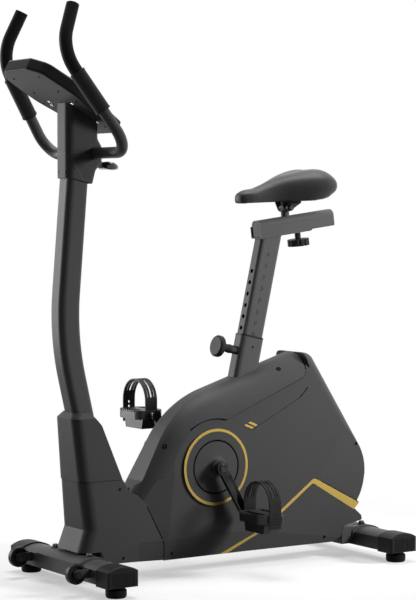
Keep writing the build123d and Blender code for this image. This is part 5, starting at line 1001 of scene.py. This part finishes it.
strap_rubber = finish("strap_rubber", (0.016, 0.016, 0.0165), 0.38, grain=700.0, bump=0.00015, spec=0.14)
for side_name, side, x_mid, z_mid in SPINDLES:
    strap = bmesh.new()
    add_strap(strap, side, x_mid, z_mid)
    outside = side * (STRAP_MIDDLE + STRAP_RADIUS + STRAP_THICK / 2 - 0.2)
    buckle = lay_frame((x_mid, outside, z_mid - 2.0), (0, side, 0), (1, 0, 0))
    add_plate(strap, buckle, rounded_box(-21, -9, 21, 9, 4), 2.6)
    for rib in (-5.5, 0.0, 5.5):
        rib_seat = buckle @ Matrix.Translation((0, rib, 2.6))
        add_plate(strap, rib_seat, rounded_box(-18, -1.1, 18, 1.1, 1.0, 3), 1.4)
    piece = place_piece(f"foot_strap_{side_name}", strap, strap_rubber, f"{side_name}_pedal")
    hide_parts(f"strap_{side_name}")


# Pulse sensor sleeves

sensor_run = (BAR_CORNER - BAR_KNEE).normalized()
sensor_face = Vector((-0.557, -0.83, 0))
sensor_face = (sensor_face - sensor_run * sensor_face.dot(sensor_run)).normalized()
sensor_trim = bmesh.new()
for side in (-1, 1):
    mirrored = Matrix.Diagonal((1, -side, 1, 1))
    start = mirrored @ (BAR_KNEE + sensor_run * SENSOR_START)
    run = mirrored.to_3x3() @ sensor_run
    face = mirrored.to_3x3() @ sensor_face
    seat = lay_frame(start, run, face)
    for level in (0.0, SENSOR_LENGTH - 5.0):
        steps = ((-1.0, 0.0), (0.5, 0.3), (0.9, 2.5), (0.5, 4.7), (-1.0, 5.0))
        collar = [(SENSOR_RADIUS + proud, level + up) for proud, up in steps]
        add_turning(sensor_trim, collar, seat, 48, looped=True)
    for turn in (0, pi):
        along_side = lay_frame((SENSOR_RADIUS - 0.4, 0, SENSOR_LENGTH / 2), (1, 0, 0), (0, 0, 1))
        ridge = seat @ Matrix.Rotation(turn, 4, "Z") @ along_side
        add_plate(sensor_trim, ridge, rounded_box(-50, -1.6, 50, 1.6, 1.5, 3), 0.9)
    for level in (18.0, SENSOR_LENGTH - 18.0):
        sunk = lay_frame((SENSOR_RADIUS - 0.3, 0, level), (1, 0, 0), (0, 0, 1))
        add_cross_screw(sensor_trim, seat @ Matrix.Rotation(0.7, 4, "Z") @ sunk, 2.6, 0.7)
place_piece("sensor_trim", sensor_trim, FINISHES["black_plastic"], "handlebar")


# Height scale on the seat post

post_up = Vector((sin(POST_TILT), 0, cos(POST_TILT)))
post_fore = Vector((-cos(POST_TILT), 0, sin(POST_TILT)))
SCALE_FOOT = 8.0
SCALE_FORE = 6.0


def numeral_mesh(text, size):
    curve = bpy.data.curves.new("numeral", "FONT")
    curve.body = text
    curve.size = size
    curve.align_x = "CENTER"
    curve.align_y = "CENTER"
    curve.extrude = 0.06
    carrier = bpy.data.objects.new("numeral", curve)
    bpy.context.scene.collection.objects.link(carrier)
    mesh = bpy.data.meshes.new_from_object(carrier.evaluated_get(bpy.context.evaluated_depsgraph_get()))
    bpy.data.objects.remove(carrier)
    return mesh


def add_mesh_at(shape, mesh, matrix):
    start = len(shape.verts)
    shape.from_mesh(mesh)
    shape.verts.ensure_lookup_table()
    bmesh.ops.transform(shape, matrix=matrix, verts=shape.verts[start:])
    bpy.data.meshes.remove(mesh)


post_scale = bmesh.new()
for side in (-1, 1):
    for mark in range(POST_MARKS):
        middle = TUBE_TOP + post_up * (SCALE_FOOT + mark * POST_PITCH) + post_fore * SCALE_FORE
        middle.y = side * POST_SIDE
        seat = lay_frame(middle, (0, side, 0), -post_fore if side < 0 else post_fore)
        add_plate(post_scale, seat, box_outline(-0.7, -7.5, 0.7, 7.5), 0.12)
        add_plate(post_scale, seat, box_outline(0.7, -0.7, 8.0, 0.7), 0.12)
        numeral = numeral_mesh(str(mark + 1), 8.0)
        add_mesh_at(post_scale, numeral, seat @ Matrix.Translation((5.0, 5.0, 0.06)))
place_piece("post_scale", post_scale, scale_ink, "seat_post", smooth=False)


# Display and button marks

SEGMENTS = {
    "0": "abcdef", "1": "bc", "2": "abged", "3": "abgcd", "4": "fgbc",
    "5": "afgcd", "6": "afgedc", "7": "abc", "8": "abcdefg", "9": "abcdfg",
}


def add_digit(shape, matrix, digit, tall):
    """Seven-segment digit, upright along local -X."""
    wide, bar = 0.52 * tall, 0.11 * tall
    half = tall / 2
    boxes = {
        "a": (-half, bar - wide / 2, -half + bar, wide / 2 - bar),
        "g": (-bar / 2, bar - wide / 2, bar / 2, wide / 2 - bar),
        "d": (half - bar, bar - wide / 2, half, wide / 2 - bar),
        "f": (-half + bar / 2, -wide / 2, -bar / 2, bar - wide / 2),
        "b": (-half + bar / 2, wide / 2 - bar, -bar / 2, wide / 2),
        "e": (bar / 2, -wide / 2, half - bar / 2, bar - wide / 2),
        "c": (bar / 2, wide / 2 - bar, half - bar / 2, wide / 2),
    }
    for key in SEGMENTS[digit]:
        add_plate(shape, matrix, box_outline(*boxes[key]), 0.1)


def console_top(name):
    """How far a console piece's top stands above the shell's underside."""
    rise = Vector((sin(CONSOLE_TILT), 0, cos(CONSOLE_TILT)))
    return max((v.co / MM - CONSOLE_NOSE).dot(rise) for v in nodes[name].data.vertices)


window_top = console_top("console_window")
readout = bmesh.new()
for text, along, across, tall in (
    ("0000", WINDOW_AT - 18, 0.0, 26.0),
    ("000", WINDOW_AT + 22, -44.0, 15.0),
    ("000", WINDOW_AT + 22, 0.0, 15.0),
    ("000", WINDOW_AT + 22, 44.0, 15.0),
):
    pitch = 0.68 * tall
    for i, digit in enumerate(text):
        place = console_place(along, across + (i - (len(text) - 1) / 2) * pitch, window_top)
        add_digit(readout, place, digit, tall)
add_plate(readout, console_place(WINDOW_AT + 3, 0, window_top), box_outline(-0.4, -62, 0.4, 62), 0.1)
place_piece("readout", readout, digit_ink, "frame", smooth=False)

button_top = console_top("button_mode")
for label, across, outline in (
    ("down", -BUTTON_PITCH, ((3.4, 0), (-2.4, -4), (-2.4, 4))),
    ("mode", 0.0, rounded_box(-3, -3, 3, 3, 2.9)),
    ("up", BUTTON_PITCH, ((-3.4, 0), (2.4, 4), (2.4, -4))),
):
    mark = bmesh.new()
    add_plate(mark, console_place(BUTTON_AT, across, button_top - 0.02), outline, 0.14)
    place_piece(f"mark_{label}", mark, mark_white, f"button_{label}", smooth=False)


# Studio

STUDIO_FILL = 0.04
FLOOR_GLOW = 0.47


def soft_light(name, place, target, size, power, spread=180, mirrored=True):
    """A soft box aimed at a target; one that isn't mirrored lights the bike without showing in its gloss."""
    lamp = bpy.data.lights.new(name, "AREA")
    lamp.shape = "RECTANGLE"
    lamp.size, lamp.size_y = size
    lamp.energy = power
    lamp.spread = radians(spread)
    holder = bpy.data.objects.new(name, lamp)
    bpy.context.scene.collection.objects.link(holder)
    holder.location = place
    holder.visible_glossy = mirrored
    holder.rotation_euler = (Vector(target) - Vector(place)).to_track_quat("-Z", "Y").to_euler()


def white_where_seen(tree):
    """1 where a camera, glossy or transmission ray looks."""
    rays = tree.nodes.new("ShaderNodeLightPath")
    seen = math_node(tree, "ADD", rays.outputs["Is Camera Ray"], rays.outputs["Is Glossy Ray"])
    return math_node(tree, "ADD", seen, rays.outputs["Is Transmission Ray"], clamp=True)


def studio_world():
    """White to the eye and in reflections, a dim fill for the rest."""
    world = bpy.data.worlds.new("studio")
    bpy.context.scene.world = world
    world.use_nodes = True
    tree = world.node_tree
    tree.nodes.clear()
    dim = tree.nodes.new("ShaderNodeBackground")
    dim.inputs["Color"].default_value = (1, 1, 1, 1)
    dim.inputs["Strength"].default_value = STUDIO_FILL
    bright = tree.nodes.new("ShaderNodeBackground")
    bright.inputs["Color"].default_value = (1, 1, 1, 1)
    bright.inputs["Strength"].default_value = 1.0
    mix = tree.nodes.new("ShaderNodeMixShader")
    tree.links.new(white_where_seen(tree), mix.inputs[0])
    tree.links.new(dim.outputs[0], mix.inputs[1])
    tree.links.new(bright.outputs[0], mix.inputs[2])
    out = tree.nodes.new("ShaderNodeOutputWorld")
    tree.links.new(mix.outputs[0], out.inputs[0])


def pale_floor():
    """A wide floor that reads as white away from the bike and keeps a pale shadow under it."""
    shape = bmesh.new()
    bmesh.ops.create_grid(shape, x_segments=4, y_segments=4, size=14.0)
    mesh = bpy.data.meshes.new("studio_floor")
    shape.to_mesh(mesh)
    shape.free()
    floor = bpy.data.objects.new("studio_floor", mesh)
    bpy.context.scene.collection.objects.link(floor)
    floor.location = (0, 0, -0.0005)
    material = bpy.data.materials.new("floor_white")
    material.use_nodes = True
    tree = material.node_tree
    tree.nodes.clear()
    rays = tree.nodes.new("ShaderNodeLightPath")
    paper = tree.nodes.new("ShaderNodeBsdfDiffuse")
    tree.links.new(
        mixed_colour(tree, rays.outputs["Is Diffuse Ray"], (0.86, 0.86, 0.86, 1), (0.1, 0.1, 0.1, 1)),
        paper.inputs["Color"],
    )
    glow = tree.nodes.new("ShaderNodeEmission")
    glow.inputs["Strength"].default_value = 1.0
    place = tree.nodes.new("ShaderNodeTexCoord").outputs["Object"]
    reach = tree.nodes.new("ShaderNodeVectorMath")
    reach.operation = "LENGTH"
    tree.links.new(place, reach.inputs[0])
    fade = tree.nodes.new("ShaderNodeMapRange")
    fade.interpolation_type = "SMOOTHSTEP"
    fade.inputs["From Min"].default_value = 0.45
    fade.inputs["From Max"].default_value = 1.5
    fade.inputs["To Min"].default_value = FLOOR_GLOW
    fade.inputs["To Max"].default_value = 1.0
    tree.links.new(reach.outputs["Value"], fade.inputs["Value"])
    share = math_node(tree, "MULTIPLY", white_where_seen(tree), fade.outputs[0])
    mix = tree.nodes.new("ShaderNodeMixShader")
    tree.links.new(share, mix.inputs[0])
    tree.links.new(paper.outputs[0], mix.inputs[1])
    tree.links.new(glow.outputs[0], mix.inputs[2])
    out = tree.nodes.new("ShaderNodeOutputMaterial")
    tree.links.new(mix.outputs[0], out.inputs[0])
    mesh.materials.append(material)


studio_world()
pale_floor()
soft_light("top_box", (0.2, 0.3, 3.3), (0.1, 0, 0.5), (2.2, 1.6), 88)
soft_light("right_box", (1.9, -1.7, 1.6), (0.36, 0, 0.72), (0.7, 1.0), 16, spread=54, mirrored=False)
soft_light("left_box", (-1.7, 2.7, 1.1), (-0.3, 0, 0.7), (0.7, 2.2), 68)

camera = bpy.data.cameras.new("photo_camera")
camera.sensor_fit = "VERTICAL"
camera.sensor_height = 36.0
camera.lens = 2026.0 / 600.0 * 36.0
camera.clip_end = 100.0
camera_holder = bpy.data.objects.new("photo_camera", camera)
bpy.context.scene.collection.objects.link(camera_holder)
camera_holder.location = (-2.895, -4.351, 0.943)
heading, dip = radians(33.87), radians(2.68)
sight = Vector((sin(heading) * cos(dip), cos(heading) * cos(dip), -sin(dip)))
camera_holder.rotation_euler = sight.to_track_quat("-Z", "Y").to_euler()
bpy.context.scene.camera = camera_holder
bpy.context.scene.view_settings.view_transform = "Standard"
